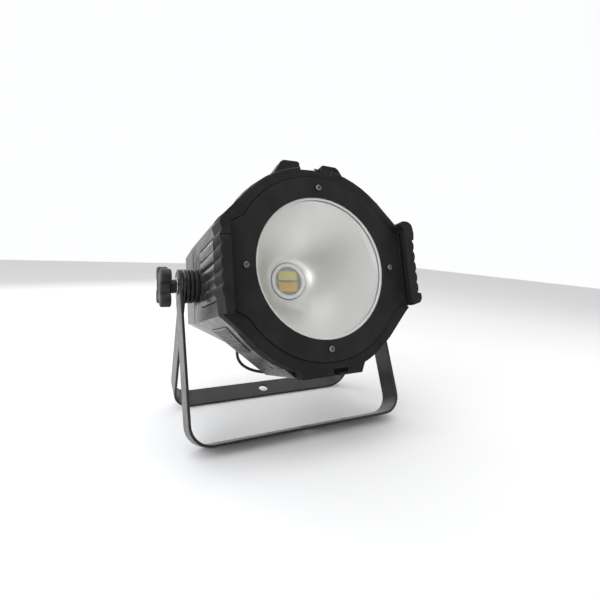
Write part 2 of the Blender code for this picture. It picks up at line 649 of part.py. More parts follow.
def make_rear_cover():
    """Rear cap with its fan grille, the control opening and the hoop holes."""
    start = COVER_SEAM + 0.0006
    cheek = CHEEK_HALF_HEIGHT
    top_width = TOP_HALF_WIDTH - 0.0025
    front = cross_section(HEAD_HALF_WIDTH, cheek, top_width, TAIL_HALF_HEIGHT)
    back = cross_section(HEAD_HALF_WIDTH, cheek - 0.003, top_width, TAIL_HALF_HEIGHT - 0.003)
    rim = cross_section(HEAD_HALF_WIDTH - 0.003, cheek - 0.005, top_width - 0.002, TAIL_HALF_HEIGHT - 0.006)
    sections = [(start, front), (COVER_END - 0.003, back), (COVER_END, rim)]
    cover = place("rear_cover", skin(sections, True), HEAD, SATIN)
    thicken(cover, WALL)
    for i in range(-4, 5):
        reach = math.sqrt(max(0.036**2 - (i * 0.0080) ** 2, 0.0)) - 0.001
        if reach < 0.006:
            continue
        level = FAN_RISE + i * 0.008
        tall = (level - 0.0024, level + 0.0024)
        slot = block((-reach, reach), tall, (COVER_END - 0.008, COVER_END + 0.004))
        combine(cover, cutter(slot, HEAD), "DIFFERENCE")
    opening = block((-0.060, 0.060), (-0.0645, -0.0175), (COVER_END - 0.008, COVER_END + 0.004))
    combine(cover, cutter(opening, HEAD), "DIFFERENCE")
    for side in (1, -1):
        hole = lathe(bar(HOOP_WIRE + 0.0005, -0.012, 0.012), 12)
        spot = Matrix.Translation((side * HOOP_REACH, HOOP_DEPTH - PIVOT_DEPTH, -0.0795 + AXIS_RISE))
        combine(cover, cutter(hole, HEAD @ spot), "DIFFERENCE")


def make_hoop():
    """Wire safety hoop below the rear cover, as one bent rod."""
    path = []
    steps = 28
    for i in range(steps + 1):
        angle = math.pi * i / steps
        x = -HOOP_REACH * math.cos(angle)
        drop = HOOP_DROP * abs(math.sin(angle)) ** 0.85
        path.append((x, HOOP_DEPTH - PIVOT_DEPTH, HOOP_LEVEL - drop + AXIS_RISE))
    ends = [(side * HOOP_REACH, path[0][1], -0.0750 + AXIS_RISE) for side in (-1, 1)]
    path = ends[:1] + path + ends[1:]
    curve = bpy.data.curves.new("safety_hoop", "CURVE")
    curve.dimensions = "3D"
    curve.bevel_depth = HOOP_WIRE
    curve.bevel_resolution = 2
    curve.use_fill_caps = True
    spline = curve.splines.new("POLY")
    spline.points.add(len(path) - 1)
    for point, spot in zip(spline.points, path):
        point.co = (*spot, 1)
    curve.materials.append(paint("safety_hoop", *BLACK))
    item = bpy.data.objects.new("safety_hoop", curve)
    bpy.context.scene.collection.objects.link(item)
    item.matrix_world = HEAD


def make_rear_panel():
    """Control plate with the display, four keys and the sockets."""
    wide = (-CONTROLS_HALF_WIDTH, CONTROLS_HALF_WIDTH)
    plate = place("rear_panel", block(wide, CONTROLS_SPAN, (COVER_END + GAP, PANEL_FACE)), HEAD, BLACK)
    wide = (DISPLAY_X[0] - DISPLAY_CLEARANCE, DISPLAY_X[1] + DISPLAY_CLEARANCE)
    tall = (DISPLAY_SPAN[0] - DISPLAY_CLEARANCE, DISPLAY_SPAN[1] + DISPLAY_CLEARANCE)
    combine(plate, cutter(block(wide, tall, (0.170, 0.180)), HEAD), "DIFFERENCE")
    window = block(DISPLAY_X, DISPLAY_SPAN, (0.1725, PANEL_FACE + 0.0003))
    place("display_window", window, HEAD, ((0.02, 0.02, 0.03), 0.1))
    for name, x in KEYS:
        hole = rod(KEY_RADIUS + 0.0004, 0.170, 0.180, 16, x, KEY_ROW)
        combine(plate, cutter(hole, HEAD), "DIFFERENCE")
        start, end = COVER_END - 0.0030, PANEL_FACE + KEY_PROUD
        shift = 0.1700
        profile = [
            (0, start - shift),
            (0.0046, start - shift),
            (0.0046, COVER_END - shift - 0.0004),
            (KEY_RADIUS, COVER_END - shift - 0.0004),
            (KEY_RADIUS, end - shift - 0.0004),
            (KEY_RADIUS - 0.0004, end - shift),
            (0, end - shift),
        ]
        centre = Matrix.Translation((x, shift - PIVOT_DEPTH, KEY_ROW + AXIS_RISE))
        key = lathe(profile, 20, matrix=ALONG_DEPTH)
        place(name, key, HEAD @ centre, ((0.10, 0.10, 0.11), 0.5))
    radius = SOCKET_RADIUS
    for name, x, colour in socket_list():
        hole = rod(radius + 0.0003, 0.170, 0.180, 20, x, SOCKET_ROW)
        combine(plate, cutter(hole, HEAD), "DIFFERENCE")
        face = PANEL_FACE + 0.0021
        bore = radius - 0.0018
        profile = [
            (0, 0.1560),
            (radius, 0.1560),
            (radius, PANEL_FACE + GAP),
            (radius + 0.0014, PANEL_FACE + GAP),
            (radius + 0.0014, face),
            (bore, face),
            (bore, 0.1630),
            (bore * 0.45, 0.1630),
            (bore * 0.45, 0.1660),
            (0, 0.1660),
        ]
        place(name, head_lathe(profile, 20, x, SOCKET_ROW), HEAD, (colour, 0.45))
    hole = rod(FUSE_RADIUS + 0.0005, 0.160, 0.180, 16, 0, SOCKET_ROW)
    combine(plate, cutter(hole, HEAD), "DIFFERENCE")
    shift = 0.1700
    cap = [(0, -0.006), (FUSE_RADIUS, -0.006), (FUSE_RADIUS, 0.0068), (FUSE_RADIUS + 0.0016, 0.0068)]
    cap += [(FUSE_RADIUS + 0.0016, 0.0110), (FUSE_RADIUS + 0.0008, 0.0122), (0, 0.0122)]
    centre = Matrix.Translation((0, shift - PIVOT_DEPTH, SOCKET_ROW + AXIS_RISE))
    fuse = place("fuse_cap", lathe(cap, 20, matrix=ALONG_DEPTH), HEAD @ centre, BLACK)
    grip = box_at(HEAD @ centre, (-0.0050, 0.0050), (0.0112, 0.0140), (-0.0006, 0.0006))
    combine(fuse, cutter(grip, Matrix()), "DIFFERENCE")
    outline = block((-0.058, 0.058), (-0.0370, -0.0190), (0.1676, 0.1692))
    board = place("control_board", outline, HEAD, BOARD)
    for x in (-0.0550, 0.0550):
        post = block((x - 0.0020, x + 0.0020), (-0.0300, -0.0260), (0.1684, COVER_END))
        combine(board, cutter(post, HEAD), "UNION")


def make_inside():
    """Chassis plate across the housing and a driver board on each cheek."""
    half, cheek, top_width, level = inset_section(WALL + GAP)
    notch = half - 0.0110
    high, low = 0.0090 - AXIS_RISE, -0.0090 - AXIS_RISE
    right = [(top_width, level), (half, cheek), (half, high), (notch, high)]
    right += [(notch, low), (half, low), (half, -cheek), (top_width, -level)]
    outline = right + [(-x, u) for x, u in reversed(right)]
    sheet = slab(outline, EMITTER_DEPTH + 0.0029, EMITTER_DEPTH + 0.0053)
    plate = place("chassis_plate", sheet, HEAD, STEEL)
    combine(plate, cutter(rod(0.0335, 0.080, 0.110), HEAD), "DIFFERENCE")
    for side, name in ((1, "driver_board_right"), (-1, "driver_board_left")):
        low, high = sorted((side * 0.0980, side * 0.0996))
        board = place(name, block((low, high), (-0.0410, 0.0410), (0.0420, 0.0860)), HEAD, BOARD)
        for u in (-0.0385, 0.0385):
            for depth in (0.0460, 0.0820):
                low, high = sorted((side * 0.0988, side * half))
                post = block((low, high), (u - 0.0020, u + 0.0020), (depth - 0.0020, depth + 0.0020))
                combine(board, cutter(post, HEAD), "UNION")


def socket_list():
    return [
        ("power_in", -0.0480, (0.05, 0.10, 0.30)),
        ("power_out", -0.0220, (0.45, 0.45, 0.46)),
        ("signal_in", 0.0220, (0.04, 0.04, 0.04)),
        ("signal_out", 0.0480, (0.05, 0.05, 0.05)),
    ]


def make_fan():
    """Axial fan: square frame with struts and a turning rotor."""
    half = FAN_SIDE / 2
    end = COVER_END - WALL - GAP
    start = end - FAN_THICKNESS
    middle = (start + end) / 2
    body = block((-half, half), (FAN_RISE - half, FAN_RISE + half), (start, end))
    frame = place("fan_frame", body, HEAD, BLACK)
    duct = rod(FAN_DUCT_RADIUS, start - 0.01, end + 0.01, 40, 0, FAN_RISE)
    combine(frame, cutter(duct, HEAD), "DIFFERENCE")
    reach = FAN_DUCT_RADIUS + 0.0008
    struts = block((-reach, reach), (FAN_RISE - 0.0020, FAN_RISE + 0.0020), (end - 0.0020, end))
    combine(frame, cutter(struts, HEAD), "UNION")
    struts = block((-0.0020, 0.0020), (FAN_RISE - reach, FAN_RISE + reach), (end - 0.0020, end))
    combine(frame, cutter(struts, HEAD), "UNION")
    hub = rod(FAN_HUB_RADIUS - 0.0015, end - 0.0020, end, 24, 0, FAN_RISE)
    combine(frame, cutter(hub, HEAD), "UNION")
    centre = Matrix.Translation((0, middle - PIVOT_DEPTH, FAN_RISE + AXIS_RISE))
    low, high = start + 0.0010 - middle, end - 0.0026 - middle
    barrel = lathe(bar(FAN_HUB_RADIUS, low, high), 28, matrix=ALONG_DEPTH)
    rotor = place("fan_rotor", barrel, HEAD @ centre, BLACK)
    blades = bmesh.new()
    for i in range(BLADES):
        turn = Matrix.Rotation(math.tau * i / BLADES, 4, "Y")
        reach = turn @ Matrix.Translation((0.0245, 0, 0)) @ Matrix.Rotation(BLADE_PITCH, 4, "X")
        box_at(reach, (-0.0125, 0.0125), (-0.0006, 0.0006), (-0.0070, 0.0070), blades)
    combine(rotor, cutter(blades, HEAD @ centre), "UNION")


def make_pivots():
    """Friction discs, nuts, washers, studs and knobs on both sides."""
    for side, word in ((1, "right"), (-1, "left")):
        spin = Matrix.Translation((0, PIVOT_Y, PIVOT_HEIGHT)) @ Matrix.Rotation(side * math.pi / 2, 4, "Y")
        arm = REAR_ARM_FACE - STRAP_THICKNESS
        disc = [
            (STUD_HOLE_RADIUS, HEAD_HALF_WIDTH + GAP),
            (DISC_RADIUS - 0.0015, HEAD_HALF_WIDTH + GAP),
            (DISC_RADIUS, HEAD_HALF_WIDTH + GAP + 0.0015),
            (DISC_RADIUS, arm - GAP - 0.0010),
            (DISC_RADIUS - 0.0010, arm - GAP),
            (STUD_HOLE_RADIUS, arm - GAP),
        ]
        place("pivot_disc_" + word, lathe(disc, 28), spin, BLACK)
        inside = HEAD_HALF_WIDTH - WALL - GAP
        nut = place("pivot_nut_" + word, lathe(bar(0.0075, inside - 0.0065, inside), 6), spin, STEEL)
        bore = bar(STUD_HOLE_RADIUS, inside - 0.0100, inside + 0.0030)
        combine(nut, cutter(lathe(bore, ROUND), spin), "DIFFERENCE")
        outside = FRONT_ARM_FACE - STRAP_THICKNESS - GAP
        spacer = washer(STUD_HOLE_RADIUS, 0.0120, REAR_ARM_FACE + GAP, outside)
        place("arm_spacer_" + word, lathe(spacer, ROUND), spin, ((0.75, 0.75, 0.72), 0.5))
        face = FRONT_ARM_FACE + GAP
        clamp = washer(STUD_HOLE_RADIUS, 0.0100, face, face + 0.0015)
        place("clamp_washer_" + word, lathe(clamp, ROUND), spin, STEEL)
        hub = face + 0.0015 + GAP
        base = hub + 0.0068
        top = base + 0.0120
        stud = lathe(bar(STUD_RADIUS, inside - 0.0100, top - 0.0040), ROUND)
        place("stud_" + word, stud, spin, STEEL)
        body = [
            (STUD_HOLE_RADIUS, hub),
            (0.0080, hub),
            (0.0080, base + 0.0010),
            (0.0150, base + 0.0010),
            (0.0158, top - 0.0015),
            (0.0120, top),
            (0, top + 0.0008),
            (0, top - 0.0040 + GAP),
            (STUD_HOLE_RADIUS, top - 0.0040 + GAP),
        ]
        knob = place("knob_" + word, lathe(body, 24), spin, BLACK)
        for i in range(4):
            angle = math.pi / 4 + i * math.pi / 2
            centre = (KNOB_LOBE_CIRCLE * math.cos(angle), KNOB_LOBE_CIRCLE * math.sin(angle))
            made = bmesh.new()
            profile = [(0, base), (KNOB_LOBE_RADIUS - 0.0008, base), (KNOB_LOBE_RADIUS, base + 0.0010)]
            profile += [(KNOB_LOBE_RADIUS, top - 0.0025), (KNOB_LOBE_RADIUS - 0.0022, top - 0.0005)]
            profile += [(0, top - 0.0003)]
            lathe(profile, 12, made, Matrix.Translation((*centre, 0)))
            combine(knob, cutter(made, spin), "UNION")


def make_bracket(name, face, leg, spread):
    """Flat strap bent into a U: arms beside the head, crossbar on the floor."""
    turn = (face - BEND_RADIUS, -leg + BEND_RADIUS)
    outer = [(face, STRAP_END)] + arc(turn, BEND_RADIUS, 0, -90, 8)
    outer += arc((-turn[0], turn[1]), BEND_RADIUS, -90, -180, 8) + [(-face, STRAP_END)]
    bend = BEND_RADIUS - STRAP_THICKNESS
    side = face - STRAP_THICKNESS
    floor = -leg + STRAP_THICKNESS
    inner = [(-side, STRAP_END)] + arc((-side + bend, floor + bend), bend, 180, 270, 8)
    inner += arc((side - bend, floor + bend), bend, 270, 360, 8) + [(side, STRAP_END)]
    bm = bmesh.new()
    verts = [bm.verts.new((x, -HALF_STRAP, z)) for x, z in outer + inner]
    strip = bm.faces.new(verts)
    moved = bmesh.ops.extrude_face_region(bm, geom=[strip])
    back = [v for v in moved["geom"] if isinstance(v, bmesh.types.BMVert)]
    bmesh.ops.translate(bm, verts=back, vec=(0, STRAP_WIDTH, 0))
    tops = [e for e in bm.edges if all(v.co.z > STRAP_END - 1e-6 for v in e.verts)]
    corners = [e for e in tops if abs(e.verts[0].co.y - e.verts[1].co.y) < 1e-6]
    bmesh.ops.bevel(bm, geom=corners, offset=0.009, segments=4, profile=0.5, affect="EDGES")
    frame = Matrix.Translation((0, PIVOT_Y, PIVOT_HEIGHT)) @ Matrix.Rotation(spread, 4, "X")
    bracket = place(name, bm, frame, SATIN)
    pin = lathe(bar(STUD_HOLE_RADIUS, -face - 0.01, face + 0.01), ROUND, matrix=ALONG_X)
    combine(bracket, cutter(pin, frame), "DIFFERENCE")
    hang = lathe(bar(HANG_HOLE_RADIUS, -leg - 0.01, -leg + 0.01), 28)
    combine(bracket, cutter(hang, frame), "DIFFERENCE")


def make_latch():
    """Accessory latch folded back between the lugs, on two stub pins."""
    depth, height = LATCH_PIN
    spot = Matrix.Translation((0, depth - PIVOT_DEPTH, height + AXIS_RISE))
    eye = LATCH_PIN_RADIUS + 0.0020
    thick = 0.0016
    reach = 0.0270
    outline = arc((0, 0), eye, 90, 270, 8) + [(reach - 0.010, -0.0012), (reach, 0.0002)]
    outline += [(reach, 0.0100), (reach - thick, 0.0100), (reach - thick, 0.0020), (reach - 0.010, 0.0010)]
    bm = bmesh.new()
    half = LUG_INNER - 0.0012
    near = [bm.verts.new((-half, y, z)) for y, z in outline]
    face = bm.faces.new(near)
    moved = bmesh.ops.extrude_face_region(bm, geom=[face])
    verts = [v for v in moved["geom"] if isinstance(v, bmesh.types.BMVert)]
    bmesh.ops.translate(bm, verts=verts, vec=(2 * half, 0, 0))
    latch = place("top_latch", bm, HEAD @ spot, SATIN)
    waist = box_at(Matrix(), (-half + 0.0030, half - 0.0030), (-0.006, 0.0060), (-0.006, 0.006))
    combine(latch, cutter(waist, HEAD @ spot), "DIFFERENCE")
    bore = lathe(bar(LATCH_PIN_RADIUS + GAP, -0.03, 0.03), 16, matrix=ALONG_X)
    combine(latch, cutter(bore, HEAD @ spot), "DIFFERENCE")
    for side, word in ((1, "right"), (-1, "left")):
        pin = lathe(bar(LATCH_PIN_RADIUS, 0.0088, 0.0360), 16)
        turn = Matrix.Rotation(side * math.pi / 2, 4, "Y")
        place("latch_pin_" + word, pin, HEAD @ spot @ turn, STEEL)


clear_scene()
make_front_ring()
make_bezel()
make_optics()
make_shell()
make_side_panels()
make_grilles()
make_rear_cover()
make_hoop()
make_rear_panel()
make_inside()
make_fan()
make_pivots()
make_bracket("front_bracket", FRONT_ARM_FACE, FRONT_LEG, -FRONT_SPREAD)
make_bracket("rear_bracket", REAR_ARM_FACE, REAR_LEG, REAR_SPREAD)
make_latch()
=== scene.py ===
import json
import math

import bmesh
import bpy
import numpy as np
from mathutils import Matrix, Vector


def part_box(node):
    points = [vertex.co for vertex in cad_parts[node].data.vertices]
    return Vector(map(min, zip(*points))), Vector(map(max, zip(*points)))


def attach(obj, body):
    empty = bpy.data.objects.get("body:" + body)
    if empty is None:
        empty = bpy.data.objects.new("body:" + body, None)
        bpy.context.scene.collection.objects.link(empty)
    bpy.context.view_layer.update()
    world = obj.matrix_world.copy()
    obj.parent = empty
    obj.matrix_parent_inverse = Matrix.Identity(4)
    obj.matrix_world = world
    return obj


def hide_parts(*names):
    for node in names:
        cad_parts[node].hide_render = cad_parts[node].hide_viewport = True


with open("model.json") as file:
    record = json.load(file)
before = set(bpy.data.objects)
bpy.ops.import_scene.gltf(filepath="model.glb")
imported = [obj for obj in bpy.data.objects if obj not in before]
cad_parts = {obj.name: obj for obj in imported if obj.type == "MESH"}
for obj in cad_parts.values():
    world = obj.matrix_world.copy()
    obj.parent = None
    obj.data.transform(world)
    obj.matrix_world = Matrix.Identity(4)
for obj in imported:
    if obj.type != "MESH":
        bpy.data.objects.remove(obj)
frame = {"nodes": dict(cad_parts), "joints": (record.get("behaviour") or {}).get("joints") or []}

scene = bpy.context.scene
nodes = frame["nodes"]
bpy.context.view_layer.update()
joints = {joint["name"]: joint for joint in frame["joints"]}

# ---- places on the tilted head: X across, up from the optical axis, depth back from the bezel's face
headFrame = {"pivotDepth": 0.106, "axisRise": 0.004}
pivot = np.array(joints["head_tilt"]["pos_m"], float)
backward = np.array(joints["fan_spin"]["axis"], float)
acrossX = np.array([1.0, 0.0, 0.0])
upward = np.cross(acrossX, backward)
tiltAngle = math.atan2(-backward[2], backward[1])


def headPlace(x, u, depth):
    # point = pivot + x across + (depth - pivot depth) backward + (u + rise) upward
    x, u, depth = np.broadcast_arrays(*(np.asarray(value, float) for value in (x, u, depth)))
    return (
        pivot
        + x[..., None] * acrossX
        + (depth[..., None] - headFrame["pivotDepth"]) * backward
        + (u[..., None] + headFrame["axisRise"]) * upward
    )


# ---- node groups
def startGroup(name, inputs, outputs):
    group = bpy.data.node_groups.new(name, "ShaderNodeTree")
    for label, kind, value in inputs:
        group.interface.new_socket(
            name=label, in_out="INPUT", socket_type="NodeSocket" + kind,
        ).default_value = value
    for label, kind in outputs:
        group.interface.new_socket(name=label, in_out="OUTPUT", socket_type="NodeSocket" + kind)
    return group, addNode(group, "NodeGroupInput"), addNode(group, "NodeGroupOutput")


def addNode(tree, kind, links=None, **settings):
    # links: {input name or number: a fixed value, or the socket that feeds it}
    node = tree.nodes.new(kind)
    for key, value in settings.items():
        setattr(node, key, value)
    for key, value in (links or {}).items():
        if isinstance(value, bpy.types.NodeSocket):
            tree.links.new(value, node.inputs[key])
        else:
            node.inputs[key].default_value = value
    return node


def fadeBetween(tree, value, low, high, toLow=0.0, toHigh=1.0):
    links = {"Value": value, "From Min": low, "From Max": high, "To Min": toLow, "To Max": toHigh}
    return addNode(tree, "ShaderNodeMapRange", links).outputs["Result"]


def blendColour(tree, share, first, second):
    node = addNode(tree, "ShaderNodeMix", data_type="RGBA")
    for place, value in ((0, share), (6, first), (7, second)):
        if isinstance(value, bpy.types.NodeSocket):
            tree.links.new(value, node.inputs[place])
        else:
            node.inputs[place].default_value = value
    return node.outputs[2]


def noiseFor(tree, size, detail=3.0, stretch=None, distortion=0.0):
    # features about this size in metres; stretch lengthens them along X, Y or Z
    vector = addNode(tree, "ShaderNodeTexCoord").outputs["Object"]
    if stretch:
        vector = addNode(tree, "ShaderNodeMapping", {"Vector": vector, "Scale": stretch}).outputs["Vector"]
    links = {"Vector": vector, "Scale": 1 / size, "Detail": detail, "Distortion": distortion}
    return addNode(tree, "ShaderNodeTexNoise", links).outputs["Fac"]


def makeEdgeWearGroup():
    # worn where a rounded normal leaves the face's own, broken up by two sizes of noise
    group, given, made = startGroup(
        "edgeWear",
        [
            ("Paint", "Color", (0, 0, 0, 1)), ("Bare", "Color", (0.5, 0.5, 0.5, 1)),
            ("Amount", "Float", 0.5), ("Reach", "Float", 0.0008),
        ],
        [("Colour", "Color")],
    )
    rounded = addNode(group, "ShaderNodeBevel", {"Radius": given.outputs["Reach"]}, samples=4)
    plain = addNode(group, "ShaderNodeNewGeometry")
    match = addNode(
        group, "ShaderNodeVectorMath", {0: rounded.outputs["Normal"], 1: plain.outputs["Normal"]},
        operation="DOT_PRODUCT",
    )
    edge = fadeBetween(group, match.outputs["Value"], 0.985, 0.86)
    broken = fadeBetween(group, noiseFor(group, 0.004, 5.0), 0.46, 0.66)
    patch = fadeBetween(group, noiseFor(group, 0.030, 2.0), 0.40, 0.62)
    both = addNode(group, "ShaderNodeMath", {0: broken, 1: patch}, operation="MULTIPLY")
    worn = addNode(group, "ShaderNodeMath", {0: edge, 1: both.outputs[0]}, operation="MULTIPLY")
    share = {0: worn.outputs[0], 1: given.outputs["Amount"]}
    mask = addNode(group, "ShaderNodeMath", share, operation="MULTIPLY", use_clamp=True).outputs[0]
    mixed = blendColour(group, mask, given.outputs["Paint"], given.outputs["Bare"])
    group.links.new(mixed, made.inputs["Colour"])
    return group


def makeGrainGroup():
    # fine pebbled paint: a height for the bump, and a slight change of tone
    group, given, made = startGroup(
        "paintGrain",
        [("Colour", "Color", (0, 0, 0, 1)), ("Size", "Float", 0.0006), ("Tone", "Float", 0.1)],
        [("Colour", "Color"), ("Height", "Float")],
    )
    scale = addNode(
        group, "ShaderNodeMath", {0: 1.0, 1: given.outputs["Size"]}, operation="DIVIDE",
    ).outputs[0]
    spot = addNode(group, "ShaderNodeTexCoord").outputs["Object"]
    grain = addNode(
        group, "ShaderNodeTexNoise", {"Vector": spot, "Scale": scale, "Detail": 2.0},
    ).outputs["Fac"]
    broad = noiseFor(group, 0.045, 3.0)
    both = addNode(group, "ShaderNodeMath", {0: grain, 1: broad}, operation="ADD").outputs[0]
    lift = addNode(group, "ShaderNodeMath", {0: both, 1: 1.0}, operation="SUBTRACT").outputs[0]
    tone = addNode(
        group, "ShaderNodeMath", {0: lift, 1: given.outputs["Tone"], 2: 1.0}, operation="MULTIPLY_ADD",
    ).outputs[0]
    shaded = addNode(
        group, "ShaderNodeVectorMath", {0: given.outputs["Colour"], "Scale": tone}, operation="SCALE",
    ).outputs[0]
    group.links.new(shaded, made.inputs["Colour"])
    group.links.new(grain, made.inputs["Height"])
    return group


def makeDustGroup():
    # a thin pale film on faces that look up at rest, thicker in soft patches, with a few specks
    group, given, made = startGroup(
        "settledDust",
        [("Colour", "Color", (0, 0, 0, 1)), ("Amount", "Float", 0.1), ("Gloss", "Float", 0.4)],
        [("Colour", "Color"), ("Roughness", "Float")],
    )
    facing = addNode(
        group, "ShaderNodeSeparateXYZ", {0: addNode(group, "ShaderNodeTexCoord").outputs["Normal"]},
    ).outputs["Z"]
    level = fadeBetween(group, facing, -0.1, 0.9)
    patch = fadeBetween(group, noiseFor(group, 0.022, 4.0), 0.35, 0.75, 0.25, 1.0)
    speck = fadeBetween(group, noiseFor(group, 0.0012, 1.0), 0.70, 0.76)
    film = addNode(group, "ShaderNodeMath", {0: patch, 1: speck}, operation="ADD").outputs[0]
    lying = addNode(group, "ShaderNodeMath", {0: film, 1: level}, operation="MULTIPLY").outputs[0]
    mask = addNode(
        group, "ShaderNodeMath", {0: lying, 1: given.outputs["Amount"]}, operation="MULTIPLY",
        use_clamp=True,
    ).outputs[0]
    handled = fadeBetween(group, noiseFor(group, 0.016, 4.0, None, 0.6), 0.3, 0.7, -0.05, 0.07)
    rough = addNode(
        group, "ShaderNodeMath", {0: given.outputs["Gloss"], 1: handled}, operation="ADD",
    ).outputs[0]
    duller = addNode(
        group, "ShaderNodeMath", {0: mask, 1: 0.6, 2: rough}, operation="MULTIPLY_ADD", use_clamp=True,
    ).outputs[0]
    group.links.new(
        blendColour(group, mask, given.outputs["Colour"], (0.42, 0.40, 0.37, 1)), made.inputs["Colour"],
    )
    group.links.new(duller, made.inputs["Roughness"])
    return group


def makeDrawnGroup():
    # drawn or spun metal: long fine lines, as a height and a change of tone
    group, given, made = startGroup(
        "drawnLines",
        [("Colour", "Color", (0.5, 0.5, 0.5, 1)), ("Tone", "Float", 0.15), ("Gloss", "Float", 0.3)],
        [("Colour", "Color"), ("Roughness", "Float"), ("Height", "Float")],
    )
    lines = noiseFor(group, 0.0005, 3.0, (0.04, 1.0, 1.0))
    cloud = noiseFor(group, 0.012, 3.0)
    lift = addNode(group, "ShaderNodeMath", {0: lines, 1: -0.5}, operation="ADD").outputs[0]
    tone = addNode(
        group, "ShaderNodeMath", {0: lift, 1: given.outputs["Tone"], 2: 1.0}, operation="MULTIPLY_ADD",
    ).outputs[0]
    shaded = addNode(
        group, "ShaderNodeVectorMath", {0: given.outputs["Colour"], "Scale": tone}, operation="SCALE",
    ).outputs[0]
    spread = fadeBetween(group, cloud, 0.3, 0.7, -0.06, 0.08)
    rough = addNode(
        group, "ShaderNodeMath", {0: given.outputs["Gloss"], 1: spread}, operation="ADD", use_clamp=True,
    ).outputs[0]
    group.links.new(shaded, made.inputs["Colour"])
    group.links.new(rough, made.inputs["Roughness"])
    group.links.new(lines, made.inputs["Height"])
    return group


edgeWear, paintGrain = makeEdgeWearGroup(), makeGrainGroup()
settledDust, drawnLines = makeDustGroup(), makeDrawnGroup()
print("effects ready")


# ---- finishes
def blankFinish(name):
    finish = bpy.data.materials.new(name)
    finish.use_nodes = True
    tree = finish.node_tree
    return finish, tree, tree.nodes["Principled BSDF"]


def useGroup(tree, group, **links):
    node = addNode(tree, "ShaderNodeGroup", node_tree=group)
    for key, value in links.items():
        if isinstance(value, bpy.types.NodeSocket):
            tree.links.new(value, node.inputs[key])
        else:
            node.inputs[key].default_value = value
    return node


def bumpOn(tree, shader, height, depth, rounding):
    links = {"Height": height, "Strength": 1.0, "Distance": depth}
    if rounding:
        links["Normal"] = addNode(
            tree, "ShaderNodeBevel", {"Radius": rounding}, samples=4,
        ).outputs["Normal"]
    tree.links.new(addNode(tree, "ShaderNodeBump", links).outputs["Normal"], shader.inputs["Normal"])


paint = {"rounding": 0.0005, "bare": (0.34, 0.34, 0.35, 1), "coatRoughness": 0.25}


def paintedFinish(name, colour, gloss, size, depth, tone, wear, dust=0.06, coat=0.0, sheen=0.5):
    # pebbled paint, worn to metal at its edges, with a little dust; sizes and depths in metres
    finish, tree, shader = blankFinish(name)
    grain = useGroup(tree, paintGrain, Colour=(*colour, 1), Size=size, Tone=tone)
    worn = useGroup(tree, edgeWear, Paint=grain.outputs["Colour"], Bare=paint["bare"], Amount=wear)
    dusty = useGroup(tree, settledDust, Colour=worn.outputs["Colour"], Amount=dust, Gloss=gloss)
    tree.links.new(dusty.outputs["Colour"], shader.inputs["Base Color"])
    tree.links.new(dusty.outputs["Roughness"], shader.inputs["Roughness"])
    shader.inputs["Coat Weight"].default_value = coat
    shader.inputs["Coat Roughness"].default_value = paint["coatRoughness"]
    shader.inputs["Specular IOR Level"].default_value = sheen
    bumpOn(tree, shader, grain.outputs["Height"], depth, paint["rounding"])
    return finish


metal = {"depth": 0.000008, "dust": 0.03}


def metalFinish(name, colour, gloss, tone=0.18, rounding=0.0003):
    # bare metal with fine drawn lines
    finish, tree, shader = blankFinish(name)
    drawn = useGroup(tree, drawnLines, Colour=(*colour, 1), Tone=tone, Gloss=gloss)
    dusty = useGroup(
        tree, settledDust, Colour=drawn.outputs["Colour"], Amount=metal["dust"],
        Gloss=drawn.outputs["Roughness"],
    )
    tree.links.new(dusty.outputs["Colour"], shader.inputs["Base Color"])
    tree.links.new(dusty.outputs["Roughness"], shader.inputs["Roughness"])
    shader.inputs["Metallic"].default_value = 1.0
    bumpOn(tree, shader, drawn.outputs["Height"], metal["depth"], rounding)
    return finish


satin = {"pebble": 0.00035, "depth": 0.000008, "tone": 0.03, "cloud": 0.05, "spread": 0.02}


def satinFinish(name, colour, gloss):
    # etched reflector: an even, very fine pebble and a faint cloud of tone
    finish, tree, shader = blankFinish(name)
    grain = useGroup(tree, paintGrain, Colour=(*colour, 1), Size=satin["pebble"], Tone=satin["tone"])
    tree.links.new(grain.outputs["Colour"], shader.inputs["Base Color"])
    cloud, spread = noiseFor(tree, satin["cloud"], 2.0), satin["spread"]
    rough = fadeBetween(tree, cloud, 0.3, 0.7, gloss - spread, gloss + spread)
    tree.links.new(rough, shader.inputs["Roughness"])
    shader.inputs["Metallic"].default_value = 1.0
    bumpOn(tree, shader, grain.outputs["Height"], satin["depth"], 0)
    return finish


def glassFinish(name):
    finish, tree, shader = blankFinish(name)
    shader.inputs["Transmission Weight"].default_value = 1.0
    shader.inputs["IOR"].default_value = 1.45
    shader.inputs["Base Color"].default_value = (0.985, 0.995, 0.99, 1)
    smear = fadeBetween(tree, noiseFor(tree, 0.020, 3.0, None, 0.8), 0.35, 0.75, 0.0, 0.03)
    tree.links.new(smear, shader.inputs["Roughness"])
    return finish


def onHeadFace(tree):
    # the point's place on the head's tilted front, without its depth
    spot = addNode(tree, "ShaderNodeTexCoord").outputs["Object"]
    links = {"Vector": spot, "Rotation": (tiltAngle, 0, 0)}
    turned = addNode(tree, "ShaderNodeMapping", links).outputs["Vector"]
    return addNode(tree, "ShaderNodeVectorMath", {0: turned, 1: (1, 0, 1)}, operation="MULTIPLY").outputs[0]


dies = {"perMetre": 620.0, "randomness": 0.15, "depth": 0.00004, "darker": 0.82}


